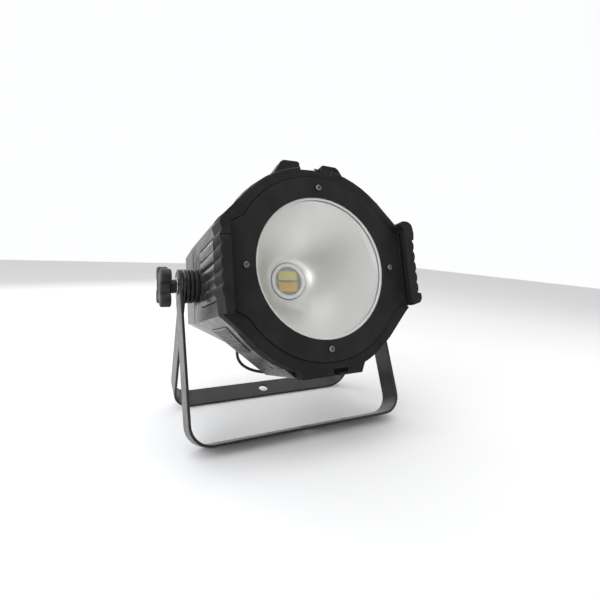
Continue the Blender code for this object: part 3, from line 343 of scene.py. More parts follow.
def phosphorFinish(name, colour, dotColour):
    # rows of small dies under a cast phosphor layer
    finish, tree, shader = blankFinish(name)
    flat = onHeadFace(tree)
    links = {"Vector": flat, "Scale": dies["perMetre"], "Randomness": dies["randomness"]}
    cells = addNode(tree, "ShaderNodeTexVoronoi", links, distance="CHEBYCHEV").outputs["Distance"]
    mask = fadeBetween(tree, cells, 0.34, 0.46, 0.35, 0.0)
    cloud = fadeBetween(tree, noiseFor(tree, 0.003, 3.0), 0.3, 0.7, 0.0, 0.25)
    base = blendColour(tree, cloud, (*colour, 1), (*[value * dies["darker"] for value in colour], 1))
    tree.links.new(blendColour(tree, mask, base, (*dotColour, 1)), shader.inputs["Base Color"])
    tree.links.new(fadeBetween(tree, cells, 0.2, 0.5, 0.26, 0.38), shader.inputs["Roughness"])
    bumpOn(tree, shader, cells, dies["depth"], 0)
    return finish


board = {"perMetre": 260.0, "depth": 0.00003, "track": (0.16, 0.34, 0.14, 1)}


def boardFinish(name, colour):
    # lacquered board with lighter copper tracks under it
    finish, tree, shader = blankFinish(name)
    spot = addNode(tree, "ShaderNodeTexCoord").outputs["Object"]
    links = {"Vector": spot, "Scale": board["perMetre"]}
    tracks = addNode(tree, "ShaderNodeTexVoronoi", links, distance="MANHATTAN").outputs["Distance"]
    mask = fadeBetween(tree, tracks, 0.50, 0.56, 0.0, 0.6)
    tree.links.new(blendColour(tree, mask, (*colour, 1), board["track"]), shader.inputs["Base Color"])
    tree.links.new(fadeBetween(tree, tracks, 0.3, 0.6, 0.3, 0.45), shader.inputs["Roughness"])
    bumpOn(tree, shader, tracks, board["depth"], 0)
    return finish


display = {"perMetre": 1500.0, "dark": (0.006, 0.010, 0.016, 1), "cell": (0.020, 0.034, 0.050, 1)}


def displayFinish(name):
    # dark display with a fine grid of unlit cells under a clear window
    finish, tree, shader = blankFinish(name)
    links = {"Vector": onHeadFace(tree), "Scale": display["perMetre"], "Randomness": 0.0}
    cells = addNode(tree, "ShaderNodeTexVoronoi", links, distance="CHEBYCHEV").outputs["Distance"]
    mask = fadeBetween(tree, cells, 0.38, 0.46, 0.5, 0.0)
    tree.links.new(blendColour(tree, mask, display["dark"], display["cell"]), shader.inputs["Base Color"])
    tree.links.new(
        fadeBetween(tree, noiseFor(tree, 0.01, 3.0), 0.3, 0.7, 0.05, 0.12), shader.inputs["Roughness"],
    )
    shader.inputs["Coat Weight"].default_value = 0.6
    return finish


finishes = {
    "castBlack": paintedFinish(
        "castBlack", (0.0075, 0.0075, 0.0088), 0.62, size=0.0008, depth=0.00006, tone=0.16, wear=0.2,
        sheen=0.16,
    ),
    "bezelBlack": paintedFinish(
        "bezelBlack", (0.0090, 0.0090, 0.0105), 0.60, size=0.0007, depth=0.00004, tone=0.12, wear=0.15,
        sheen=0.16,
    ),
    "housingBlack": paintedFinish(
        "housingBlack", (0.016, 0.0165, 0.018), 0.30, size=0.0010, depth=0.00002, tone=0.18, wear=0.3,
        coat=0.2, sheen=0.5,
    ),
    "strapBlack": paintedFinish(
        "strapBlack", (0.011, 0.011, 0.0125), 0.30, size=0.0009, depth=0.00003, tone=0.15, wear=0.45,
        sheen=0.45,
    ),
    "plasticBlack": paintedFinish(
        "plasticBlack", (0.009, 0.009, 0.010), 0.42, size=0.0005, depth=0.00002, tone=0.08, wear=0.0,
        dust=0.03, sheen=0.35,
    ),
    "rubberBlack": paintedFinish(
        "rubberBlack", (0.014, 0.014, 0.015), 0.50, size=0.0005, depth=0.00004, tone=0.1, wear=0.0,
        dust=0.05, sheen=0.4,
    ),
    "keyGrey": paintedFinish(
        "keyGrey", (0.11, 0.11, 0.12), 0.5, size=0.0005, depth=0.00002, tone=0.08, wear=0.0,
    ),
    "socketBlue": paintedFinish(
        "socketBlue", (0.030, 0.075, 0.30), 0.38, size=0.0005, depth=0.00001, tone=0.06, wear=0.0,
    ),
    "socketGrey": paintedFinish(
        "socketGrey", (0.42, 0.42, 0.43), 0.40, size=0.0005, depth=0.00001, tone=0.06, wear=0.0,
    ),
    "whitePlastic": paintedFinish(
        "whitePlastic", (0.93, 0.93, 0.915), 0.42, size=0.0006, depth=0.00001, tone=0.04, wear=0.0, dust=0.0,
    ),
    "gasketWhite": paintedFinish(
        "gasketWhite", (0.72, 0.72, 0.71), 0.55, size=0.0004, depth=0.00002, tone=0.06, wear=0.0,
    ),
    "nylonWhite": paintedFinish(
        "nylonWhite", (0.55, 0.55, 0.52), 0.50, size=0.0006, depth=0.00002, tone=0.06, wear=0.0,
    ),
    "bareSteel": metalFinish("bareSteel", (0.56, 0.56, 0.57), 0.30),
    "screwSteel": metalFinish("screwSteel", (0.20, 0.19, 0.175), 0.30, tone=0.3),
    "darkSteel": metalFinish("darkSteel", (0.22, 0.22, 0.23), 0.36),
    "satinReflector": satinFinish("satinReflector", (0.86, 0.855, 0.845), 0.42),
    "goldContact": metalFinish("goldContact", (0.72, 0.54, 0.26), 0.25, rounding=0),
    "castAluminium": metalFinish("castAluminium", (0.60, 0.60, 0.61), 0.42, tone=0.1),
    "clearGlass": glassFinish("clearGlass"),
    "coolPhosphor": phosphorFinish("coolPhosphor", (0.74, 0.70, 0.33), (0.80, 0.78, 0.46)),
    "warmPhosphor": phosphorFinish("warmPhosphor", (0.80, 0.56, 0.22), (0.86, 0.66, 0.34)),
    "greenBoard": boardFinish("greenBoard", (0.015, 0.085, 0.035)),
    "displayGlass": displayFinish("displayGlass"),
}
print("finishes ready")


# ---- making pieces
def finishPiece(piece, body, finish, stands, sharp=35):
    # stands: the CAD nodes that the piece stands for; sharp: degrees from which an angle stays an edge
    mesh = piece.data
    mesh.polygons.foreach_set("use_smooth", np.ones(len(mesh.polygons), bool))
    mesh.set_sharp_from_angle(angle=math.radians(sharp))
    piece.data.materials.clear()
    piece.data.materials.append(finishes[finish])
    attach(piece, body)
    if stands:
        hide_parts(*stands)
    return piece


def linkPiece(name, mesh):
    piece = bpy.data.objects.new(name, mesh)
    scene.collection.objects.link(piece)
    return piece


def gridPiece(name, points, closeRows=False, closeRound=True):
    # quads between neighbouring rows and columns of a grid of points; rows or columns may join their start
    # points has the shape (rows, columns, 3), or (copies, rows, columns, 3)
    stacks = points if points.ndim == 4 else points[None]
    copies, rows, columns = stacks.shape[:3]
    index = np.arange(copies * rows * columns).reshape(copies, rows, columns)
    if closeRows:
        index = np.concatenate([index, index[:, :1]], axis=1)
    if closeRound:
        index = np.concatenate([index, index[:, :, :1]], axis=2)
    quads = np.stack([index[:, :-1, :-1], index[:, 1:, :-1], index[:, 1:, 1:], index[:, :-1, 1:]], axis=-1)
    return meshPiece(name, stacks.reshape(-1, 3), quads.reshape(-1, 4))


def meshPiece(name, points, faces):
    mesh = bpy.data.meshes.new(name)
    mesh.from_pydata(points.tolist(), [], faces.tolist())
    work = bmesh.new()
    work.from_mesh(mesh)
    bmesh.ops.remove_doubles(work, verts=work.verts, dist=1e-7)
    bmesh.ops.dissolve_degenerate(work, edges=work.edges, dist=1e-8)
    bmesh.ops.recalc_face_normals(work, faces=work.faces)
    work.to_mesh(mesh)
    work.free()
    return linkPiece(name, mesh)


def roundedProfile(corners, radius, steps=3):
    # each corner of the closed outline becomes a quadratic curve between points a radius before and after it
    corners = np.asarray(corners, float)
    before, after = np.roll(corners, 1, axis=0), np.roll(corners, -1, axis=0)
    toBefore, toAfter = before - corners, after - corners
    lengthBefore = np.linalg.norm(toBefore, axis=1, keepdims=True)
    lengthAfter = np.linalg.norm(toAfter, axis=1, keepdims=True)
    radius = np.broadcast_to(np.asarray(radius, float).reshape(-1, 1), (len(corners), 1))
    start = corners + toBefore / lengthBefore * np.minimum(radius, 0.45 * lengthBefore)
    end = corners + toAfter / lengthAfter * np.minimum(radius, 0.45 * lengthAfter)
    t = np.linspace(0, 1, steps + 1)[None, :, None]
    curve = start[:, None] * (1 - t) ** 2 + 2 * corners[:, None] * t * (1 - t) + end[:, None] * t**2
    return curve.reshape(-1, 2)


def revolved(name, profile, steps, place, shape=None):
    # point = centre + radius (cos a, sin a) + height along the axis; shape may scale the radius
    profile = np.asarray(profile, float)
    angle = np.arange(steps) * math.tau / steps
    radius = np.repeat(profile[:, :1], steps, axis=1)
    if shape is not None:
        radius = radius * shape(angle, profile)
    height = np.repeat(profile[:, 1:], steps, axis=1)
    return gridPiece(name, place(radius * np.cos(angle), radius * np.sin(angle), height), closeRows=True)


def aboutDepth(x=0.0, u=0.0):
    return lambda a, b, height: headPlace(x + a, u + b, height)


def aboutPivot(side):
    # distances run outwards from the middle of the object, along the pivot
    def place(a, b, height):
        return np.stack([side * height + pivot[0], a + pivot[1], b + pivot[2]], axis=-1)
    return place


def cadCopy(node):
    # the node's own mesh as a new piece, merged, with flat areas made whole
    mesh = nodes[node].data.copy()
    work = bmesh.new()
    work.from_mesh(mesh)
    bmesh.ops.remove_doubles(work, verts=work.verts, dist=2e-6)
    bmesh.ops.dissolve_limit(work, angle_limit=math.radians(0.4), verts=work.verts, edges=work.edges)
    work.to_mesh(mesh)
    work.free()
    mesh.name = node + "_finished"
    return linkPiece(node + "_finished", mesh)


edgeAngle = math.radians(34)


def roundEdges(piece, width, segments, clamp):
    bevel = piece.modifiers.new("roundedEdges", "BEVEL")
    bevel.width, bevel.segments = width, segments
    bevel.limit_method, bevel.angle_limit = "ANGLE", edgeAngle
    bevel.harden_normals, bevel.use_clamp_overlap = True, clamp
    bevel.miter_outer = "MITER_ARC"


def dress(node, body, finish, width, segments=2, clamp=True):
    piece = cadCopy(node)
    roundEdges(piece, width, segments, clamp)
    return finishPiece(piece, body, finish, [node])


def repaint(node, finish):
    item = nodes[node]
    item.data.materials.clear()
    item.data.materials.append(finishes[finish])


# ---- camera and light
cameraView = {
    "place": (-0.21131, -0.44408, 0.22578),
    "yaw": -27.64, "pitch": -6.24, "roll": 2.88,
    "focal": 23.50, "shiftX": -0.01098, "shiftY": -0.02383,
}


def makeCamera():
    yaw, pitch, roll = (math.radians(cameraView[key]) for key in ("yaw", "pitch", "roll"))
    forward = Vector((-math.sin(yaw) * math.cos(pitch), math.cos(yaw) * math.cos(pitch), math.sin(pitch)))
    level = Vector((math.cos(yaw), math.sin(yaw), 0))
    raised = level.cross(forward)
    right = level * math.cos(roll) + raised * math.sin(roll)
    top = raised * math.cos(roll) - level * math.sin(roll)
    matrix = Matrix((right, top, -forward)).transposed().to_4x4()
    matrix.translation = Vector(cameraView["place"])
    lens = bpy.data.cameras.new("camera")
    lens.sensor_width, lens.lens = 36.0, cameraView["focal"]
    lens.shift_x, lens.shift_y = cameraView["shiftX"], cameraView["shiftY"]
    lens.clip_start = 0.01
    camera = bpy.data.objects.new("camera", lens)
    camera.matrix_world = matrix
    scene.collection.objects.link(camera)
    scene.camera = camera


studio = {
    "world": (0.985, 0.99, 1.0, 1), "floor": 0.86, "floorSpread": 0.01, "floorHalf": 3.0,
    # the sky dims from full strength to the last value, between these two shares of the dark side's direction
    "darkSide": (0.45, -0.85, 0.28), "dim": (0.05, 0.75, 1.0, 0.24),
    "target": (0, 0.02, 0.16),
    # name, place, size, watts, colour
    "boxes": [
        ("leftBox", (-1.15, -0.25, 0.75), (1.3, 1.1), 9.0, (0.95, 0.97, 1.0)),
        ("topBox", (0.10, -0.25, 1.35), (1.2, 1.0), 5.0, (1.0, 1.0, 1.0)),
        ("rightBox", (1.05, -0.55, 0.55), (0.9, 1.0), 3.0, (1.0, 0.98, 0.95)),
        ("frontBox", (-0.85, -1.10, 0.42), (0.6, 0.6), 3.2, (1.0, 1.0, 1.0)),
        ("backBox", (-0.35, 1.20, 0.80), (1.2, 0.9), 6.0, (1.0, 1.0, 1.0)),
    ],
}


def makeStudio():
    for name, place, size, power, colour in studio["boxes"]:
        light = bpy.data.lights.new(name, "AREA")
        light.shape, light.energy, light.color = "RECTANGLE", power, colour
        light.size, light.size_y = size
        lamp = bpy.data.objects.new(name, light)
        lamp.location = place
        aim = Vector(studio["target"]) - Vector(place)
        lamp.rotation_euler = aim.to_track_quat("-Z", "Y").to_euler()
        scene.collection.objects.link(lamp)
    world = bpy.data.worlds.new("studio")
    world.use_nodes = True
    tree = world.node_tree
    background = tree.nodes["Background"]
    sky = addNode(tree, "ShaderNodeTexCoord").outputs["Generated"]
    facing = addNode(tree, "ShaderNodeVectorMath", {0: sky, 1: studio["darkSide"]}, operation="DOT_PRODUCT")
    dim = dict(zip(("From Min", "From Max", "To Min", "To Max"), studio["dim"]))
    dim["Value"] = facing.outputs["Value"]
    strength = addNode(tree, "ShaderNodeMapRange", dim, interpolation_type="SMOOTHSTEP").outputs["Result"]
    tree.links.new(strength, background.inputs["Strength"])
    background.inputs["Color"].default_value = studio["world"]
    scene.world = world
    span = np.linspace(-studio["floorHalf"], studio["floorHalf"], 3)
    x, y = np.meshgrid(span, span, indexing="ij")
    floor = gridPiece("floor", np.stack([x, y, np.zeros_like(x)], axis=-1), closeRound=False)
    finish, tree, shader = blankFinish("paleFloor")
    pale, spread = studio["floor"], studio["floorSpread"]
    cloud = fadeBetween(tree, noiseFor(tree, 0.4, 2.0), 0.3, 0.7, pale - spread, pale + spread)
    tree.links.new(cloud, shader.inputs["Base Color"])
    shader.inputs["Roughness"].default_value = 0.7
    floor.data.materials.append(finish)
    scene.view_settings.view_transform = "Standard"


makeCamera()
makeStudio()
print("camera and studio ready")


# ---- front ring, bezel, screws
def makeFront():
    dress("front_ring", "head", "castBlack", 0.0005, clamp=False)
    dress("bezel_plate", "head", "bezelBlack", 0.0004, clamp=False)
    for word in ("top", "right", "bottom", "left"):
        makeScrew("bezel_screw_" + word)


def middleOf(node):
    low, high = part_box(node)
    return (np.array(low) + np.array(high)) / 2


def headCoordinates(point):
    # the reverse of headPlace
    offset = np.asarray(point) - pivot
    return offset[0], offset @ upward - headFrame["axisRise"], offset @ backward + headFrame["pivotDepth"]


screw = {
    "head": 0.0033, "face": -0.0023, "underside": -0.0003, "shank": 0.0015, "end": 0.0100,
    "socket": 0.00145, "socketDepth": 0.0013, "point": 0.0003, "chamfer": 0.0001,
    "shoulder": 0.0003, "domeSpan": 0.95, "domeRise": 0.0016, "rimDrop": 0.0017,
}


def hexagon(angle, profile):
    # distance to a hexagon's flat, for rows inside the socket
    turn = np.mod(angle + math.pi / 6, math.pi / 3) - math.pi / 6
    hexed = (np.cos(math.pi / 6) / np.cos(turn))[None, :]
    inSocket = (profile[:, 0] <= screw["socket"] + 1e-6) & (profile[:, 1] < 0)
    return np.where(inSocket[:, None], hexed, 1.0)


def makeScrew(node):
    # half section turned round the screw's axis: socket, a quarter-sine dome, rim, then the plain shank
    x, u, _ = headCoordinates(middleOf(node))
    head, face, socket, chamfer = screw["head"], screw["face"], screw["socket"], screw["chamfer"]
    t = np.linspace(0, math.pi / 2, 9)
    domeRadius = socket + screw["shoulder"] + (head - chamfer - socket) * np.sin(t) * screw["domeSpan"]
    dome = np.stack([domeRadius, face + screw["domeRise"] * (1 - np.cos(t))], axis=1)
    rim = [(head, face + screw["rimDrop"]), (head, screw["underside"] - chamfer)]
    rim += [(head - chamfer, screw["underside"])]
    shank = [(screw["shank"], screw["underside"]), (screw["shank"], screw["end"]), (0, screw["end"])]
    floor = face + screw["socketDepth"]
    inside = [(0, floor + screw["point"]), (socket, floor), (socket, face + chamfer)]
    profile = np.concatenate([inside, dome, rim, shank])
    piece = revolved(node + "_finished", profile, 36, aboutDepth(x, u), shape=hexagon)
    finishPiece(piece, "head", "screwSteel", [node], sharp=40)


makeFront()
print("front ready")


# ---- glass, gasket, reflector, emitter
optics = {
    "gasket": [(0.0754, 0.0026), (0.0796, 0.0026), (0.0796, 0.0034), (0.0754, 0.0034)],
    "glass": [(0.0794, 0.0037), (0.0794, 0.0067)],
    "mouth": 0.0756, "throat": 0.0244, "front": 0.0075, "end": 0.0950, "wall": 0.0010, "curve": 0.62,
    "lip": 0.0794, "seat": 0.0080, "lipThickness": 0.0010, "step": 0.0004, "glassEdge": 0.0006,
    "ring": [(0.0185, 0.0935), (0.0234, 0.0935), (0.0234, 0.0975), (0.0185, 0.0975)],
}


def makeOptics():
    # reflector: radius = throat + (mouth - throat) times (1 - share of the depth) to the power "curve"
    piece = revolved("lens_gasket_finished", roundedProfile(optics["gasket"], 0.0003), 128, aboutDepth())
    finishPiece(piece, "head", "gasketWhite", ["lens_gasket"])
    (edge, near), (_, far) = optics["glass"]
    soft = optics["glassEdge"]
    profile = [(0, near), (edge - soft, near), (edge, near + soft)]
    profile += [(edge, far - soft), (edge - soft, far), (0, far)]
    piece = revolved("front_glass_finished", profile, 128, aboutDepth())
    piece.visible_shadow = False
    finishPiece(piece, "head", "clearGlass", ["front_glass"], sharp=30)
    share = np.linspace(0, 1, 48)
    depth = optics["front"] + (optics["end"] - optics["front"]) * share
    radius = optics["throat"] + (optics["mouth"] - optics["throat"]) * (1 - share) ** optics["curve"]
    inner = np.stack([radius, depth], axis=1)
    outer = inner[::-1] + (optics["wall"], optics["step"])
    lipFace = optics["seat"] - optics["lipThickness"]
    lip = [(optics["lip"], optics["seat"]), (optics["lip"], lipFace), (optics["mouth"], lipFace)]
    piece = revolved("reflector_finished", np.concatenate([inner, outer, lip]), 144, aboutDepth())
    finishPiece(piece, "head", "satinReflector", ["reflector"], sharp=40)
    piece = revolved("emitter_ring_finished", roundedProfile(optics["ring"], 0.0007), 96, aboutDepth())
    finishPiece(piece, "head", "whitePlastic", ["emitter_ring"])
    dress("emitter_cool", "head", "coolPhosphor", 0.0003)
    dress("emitter_warm", "head", "warmPhosphor", 0.0003)
    repaint("emitter_board", "castAluminium")


makeOptics()
print("optics ready")


# ---- housing, side panels, perforated grilles, rear cover, hoop
housing = {"halfWidth": 0.113, "halfHeight": 0.1145, "cheek": 0.0468, "topHalf": 0.0365}
flute = {
    "count": 5, "pitch": 0.0124, "height": 0.0020, "base": 0.1125, "inside": 0.1102, "wall": 0.0012,
    "front": 0.0163, "end": 0.0820, "groove": 0.0012, "flange": 0.0025,
    "power": 0.6, "soft": 0.0004, "drawnIn": 0.985,
}
grille = {
    "near": 0.0152, "far": 0.0588, "back": 0.0928, "lift": 0.0003, "top": 0.0007,
    "across": 17, "along": 20, "hole": 0.34,
    # the ring's edge: distance along the facet, and the depth there
    "edgeRun": [0.0150, 0.0320, 0.0570, 0.0590], "edgeDepth": [0.0332, 0.0432, 0.0522, 0.0600],
}


def facetPlace(side, level, along, depth, lift):
    # point = cheek corner + along the slanting facet + back + outwards
    rise = housing["halfHeight"] - housing["cheek"]
    run = np.array([side * (housing["topHalf"] - housing["halfWidth"]), level * rise])
    run /= np.linalg.norm(run)
    out = np.array([side * abs(run[1]), level * abs(run[0])])
    x = side * housing["halfWidth"] + along * run[0] + lift * out[0]
    u = level * housing["cheek"] + along * run[1] + lift * out[1]
    return headPlace(x, u, depth)


def makeSidePanel(side, node):
    # each flute is a half sine to the power "power"; their outline runs straight back, drawn in at both ends
    t = np.linspace(0, 1, 15)[:-1]
    bulge = np.sin(math.pi * t) ** flute["power"]
    half = flute["pitch"] * flute["count"] / 2
    u = (np.arange(flute["count"])[:, None] * flute["pitch"] + t * flute["pitch"]).ravel() - half
    edge = np.stack([flute["base"] + flute["height"] * np.tile(bulge, flute["count"]), u], axis=1)
    rim = half + flute["groove"] + flute["flange"]
    inside, back = flute["inside"], flute["inside"] - flute["wall"]
    outline = np.concatenate([
        [(back, -rim), (inside, -rim), (inside, -half)], edge,
        [(flute["base"], half), (inside, half), (inside, rim), (back, rim)],
    ])
    middle = np.array([inside - flute["wall"] / 2, 0.0])
    front, end, soft, drawnIn = flute["front"], flute["end"], flute["soft"], flute["drawnIn"]
    rows = np.array(
        [(front, 0), (front, drawnIn), (front + soft, 1), (end - soft, 1), (end, drawnIn), (end, 0)]
    )
    shape = middle + (outline - middle) * rows[:, 1][:, None, None]
    points = headPlace(side * shape[..., 0], shape[..., 1], np.repeat(rows[:, :1], len(outline), axis=1))
    piece = gridPiece(node + "_finished", points)
    finishPiece(piece, "head", "housingBlack", [node], sharp=38)


def makeMeshGrille(side, level, node):
    # a plate with rows of holes that follow its curved front edge: each cell is a square with an eight-sided
    # hole, top and bottom, and a wall between; hole corner = cell middle + hole (cos a, sin a) / cells
    across, along = grille["across"], grille["along"]
    s = np.linspace(0, 1, 2 * across + 1)
    t = np.linspace(0, 1, 2 * along + 1)

    def warp(s, t):
        run = grille["near"] + s * (grille["far"] - grille["near"])
        front = np.interp(run, grille["edgeRun"], grille["edgeDepth"])
        return run, front + t * (grille["back"] - front)

    ring = np.array([[-1, -1], [0, -1], [1, -1], [1, 0], [1, 1], [0, 1], [-1, 1], [-1, 0]])
    ci, cj = np.meshgrid(np.arange(across), np.arange(along), indexing="ij")
    ci, cj = ci.ravel(), cj.ravel()
    solid = (ci == 0) | (ci == across - 1) | (cj == 0) | (cj == along - 1)
    cornerS = s[2 * ci[:, None] + 1 + ring[:, 0]]
    cornerT = t[2 * cj[:, None] + 1 + ring[:, 1]]
    turn = np.arctan2(ring[:, 1], ring[:, 0])
    size = np.where(solid, 0.0, grille["hole"])[:, None]
    holeS = s[2 * ci + 1][:, None] + size * np.cos(turn) / across
    holeT = t[2 * cj + 1][:, None] + size * np.sin(turn) / along
    top, lift = grille["top"], grille["lift"]
    loops = [(cornerS, cornerT, top), (holeS, holeT, top), (holeS, holeT, lift), (cornerS, cornerT, lift)]
    points = []
    for loopS, loopT, height in loops:
        run, depth = warp(loopS, loopT)
        points.append(facetPlace(side, level, run, depth, height))
    stack = np.stack(points, axis=1)
    copies = len(stack)
    index = np.arange(copies * 32).reshape(copies, 4, 8)
    following = np.roll(index, -1, axis=2)
    quads = np.stack([index[:, :-1], index[:, 1:], following[:, 1:], following[:, :-1]], axis=-1)
    pierced = quads[~solid].reshape(-1, 4)
    closed = np.concatenate([quads[solid][:, 0].reshape(-1, 4), quads[solid][:, 2].reshape(-1, 4)])
    faces = [pierced, closed]
    for atEdge, start in ((ci == 0, 6), (ci == across - 1, 2), (cj == 0, 0), (cj == along - 1, 4)):
        cells = index[atEdge]
        for first in (start, start + 1):
            second = (first + 1) % 8
            wall = [cells[:, 0, first], cells[:, 0, second], cells[:, 3, second], cells[:, 3, first]]
            faces.append(np.stack(wall, axis=-1))
    piece = meshPiece(node + "_finished", stack.reshape(-1, 3), np.concatenate(faces))
    finishPiece(piece, "head", "housingBlack", [node], sharp=40)


hoop = {
    "reach": 0.0555, "drop": 0.0300, "level": -0.0865, "start": -0.0750, "depth": 0.150,
    "wire": 0.0019, "power": 0.85, "straight": [0.0, 0.004, 0.008],
}


def tubeAlong(name, path, radius, steps=20):
    # rings round the path, each square to it, with the first and last drawn to a point
    tangent = np.gradient(path, axis=0)
    tangent /= np.linalg.norm(tangent, axis=1, keepdims=True)
    first = np.cross(tangent, backward)
    first /= np.linalg.norm(first, axis=1, keepdims=True)
    second = np.cross(tangent, first)
    angle = np.arange(steps) * math.tau / steps
    cosine, sine = np.cos(angle)[None, :, None], np.sin(angle)[None, :, None]
    rings = path[:, None] + radius * (cosine * first[:, None] + sine * second[:, None])
    near, far = (np.repeat(end[:, None], steps, axis=1) for end in (path[:1], path[-1:]))
    return gridPiece(name, np.concatenate([near, rings, far]))


def makeHoop():
    # x = -reach cos a and u = level - drop |sin a| to the power "power", between two straight ends
    angle = np.linspace(0, math.pi, 61)
    x = -hoop["reach"] * np.cos(angle)
    u = hoop["level"] - hoop["drop"] * np.abs(np.sin(angle)) ** hoop["power"]
    x = np.concatenate([[-hoop["reach"]] * 3, x, [hoop["reach"]] * 3])
    straight = np.array(hoop["straight"])
    u = np.concatenate([hoop["start"] - straight, u, hoop["start"] - straight[::-1]])
    path = headPlace(x, u, hoop["depth"])
    piece = tubeAlong("safety_hoop_finished", path, hoop["wire"])
    finishPiece(piece, "head", "strapBlack", ["safety_hoop"], sharp=50)


def makeHousing():
    dress("housing_shell", "head", "housingBlack", 0.0006, clamp=False)
    dress("rear_cover", "head", "housingBlack", 0.0006, clamp=False)
    for side, word in ((1, "right"), (-1, "left")):
        makeSidePanel(side, "side_panel_" + word)
        for level, row in ((1, "upper"), (-1, "lower")):
            makeMeshGrille(side, level, "grille_" + row + "_" + word)
    makeHoop()


makeHousing()
print("housing ready")


# ---- brackets, pivots, knobs
knob = {
    "core": 0.0158, "lobeCircle": 0.0190, "lobe": 0.0080, "hub": 0.0080, "bore": 0.0043,
    "hubStart": 0.1377, "base": 0.1445, "top": 0.1565, "studEnd": 0.1525, "soft": 0.0022, "hubSoft": 0.0006,
    # outline at the base: how far in, and how far above the base
    "foot": [(0.0012, 0.0002), (0.0, 0.0014)],
    # the dished face: radius, and depth below the top
    "dish": [(0.0112, 0.0002), (0.0100, 0.0008), (0.0070, 0.0009), (0.0, 0.0008)],
    "endGap": 0.0003, "neck": 0.0010, "shoulder": 1.1,
}


def lobedOutline(angle):
    # the farther of a circle and four smaller circles set round it, at each angle
    nearest = np.mod(angle, math.pi / 2) - math.pi / 4
    reach = knob["lobeCircle"]
    inside = np.maximum(knob["lobe"] ** 2 - (reach * np.sin(nearest)) ** 2, 0.0)
    lobed = np.where(inside > 0, reach * np.cos(nearest) + np.sqrt(inside), 0.0)
    return np.maximum(knob["core"], lobed)


def makeKnob(side, word):
    # rows of rings up the knob's axis: bore, round hub, then the lobed outline with a quarter-circle shoulder
    angle = np.arange(160) * math.tau / 160
    outline = lobedOutline(angle)
    base, top, soft = knob["base"], knob["top"], knob["soft"]
    hub, hubSoft, start, floor = knob["hub"], knob["hubSoft"], knob[
        "hubStart"
    ], knob["studEnd"] + knob["endGap"]
    rows = [(0.0, floor), (knob["bore"], floor), (knob["bore"], start)]
    rows += [(hub - hubSoft, start), (hub, start + hubSoft), (hub, base + knob["neck"])]
    rows += [(outline - inwards, base + above) for inwards, above in knob["foot"]]
    t = np.linspace(0, math.pi / 2, 7)
    rows += [
        (outline - soft * (1 - math.cos(step)), top - soft * knob["shoulder"] + soft * math.sin(step))
        for step in t
    ]
    rows += [(radius, top - below) for radius, below in knob["dish"]]
    radius = np.array([row[0] + np.zeros(len(angle)) for row in rows])
    height = np.array([row[1] + np.zeros(len(angle)) for row in rows])
    points = aboutPivot(side)(radius * np.cos(angle), radius * np.sin(angle), height)
    piece = gridPiece("knob_" + word + "_finished", points)
    finishPiece(piece, "knob_" + word, "rubberBlack", ["knob_" + word], sharp=42)


thread = {"steps": 24, "rows": 150, "pitch": 0.00125, "depth": 0.00055, "radius": 0.0040, "runOut": 0.001}


def makeStud(side, word):
    # threaded rod: the radius dips with a triangle wave that climbs one pitch in each turn
    low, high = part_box("stud_" + word)
    start, end = sorted((abs(low[0]), abs(high[0])))
    steps = thread["steps"]
    height = np.linspace(start, end, thread["rows"])[:, None] + np.zeros(steps)
    angle = np.arange(steps) * math.tau / steps
    wave = np.abs(np.mod(height / thread["pitch"] - angle / math.tau, 1.0) * 2 - 1)
    fade = np.clip(np.minimum(height - start, end - height) / thread["runOut"], 0, 1)
    profile = thread["radius"] - thread["depth"] * wave * fade
    radiusRows = np.concatenate([np.zeros((1, steps)), profile, np.zeros((1, steps))])
    heightRows = np.concatenate([height[:1], height, height[-1:]])
    points = aboutPivot(side)(radiusRows * np.cos(angle), radiusRows * np.sin(angle), heightRows)
    piece = gridPiece("stud_" + word + "_finished", points)
    finishPiece(piece, "knob_" + word, "bareSteel", ["stud_" + word], sharp=50)


def ringAbout(side, node, body, finish, radius, soft):
    # washer-like ring between the node's own two faces, with rounded corners
    low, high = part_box(node)
    near, far = sorted((abs(low[0]), abs(high[0])))
    bore = knob["bore"]
    corners = [(bore, near), (radius, near), (radius, far), (bore, far)]
    piece = revolved(node + "_finished", roundedProfile(corners, soft), 72, aboutPivot(side))
    finishPiece(piece, body, finish, [node])


disc = {
    "radius": 0.0200, "groove": 0.0170, "first": 0.0006, "last": 0.0002, "soft": 0.0005,
    "slope": 0.0004, "grooveEnd": 0.0014, "plateStart": 0.0018, "lastGroove": 0.0012, "lastStart": 0.0016,
}


def makePivotDisc(side, word):
    # friction discs pressed together: a wide plate, a groove, and a second plate against the arm
    low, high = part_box("pivot_disc_" + word)
    near, far = sorted((abs(low[0]), abs(high[0])))
    radius, groove, bore = disc["radius"], disc["groove"], knob["bore"]
    wide, last = radius - disc["first"], radius - disc["last"]
    one, two = near + (far - near) / 3, near + 2 * ((far - near) / 3)
    corners = [(bore, near), (wide, near), (wide, one), (groove, one + disc["slope"])]
    corners += [(groove, one + disc["grooveEnd"]), (radius, one + disc["plateStart"]), (radius, two)]
    corners += [(groove, two + disc["slope"]), (groove, two + disc["lastGroove"])]
    corners += [(last, two + disc["lastStart"]), (last, far), (bore, far)]
    piece = revolved(
        "pivot_disc_" + word + "_finished", roundedProfile(corners, disc["soft"]), 96, aboutPivot(side),
    )
    finishPiece(piece, "head", "plasticBlack", ["pivot_disc_" + word])


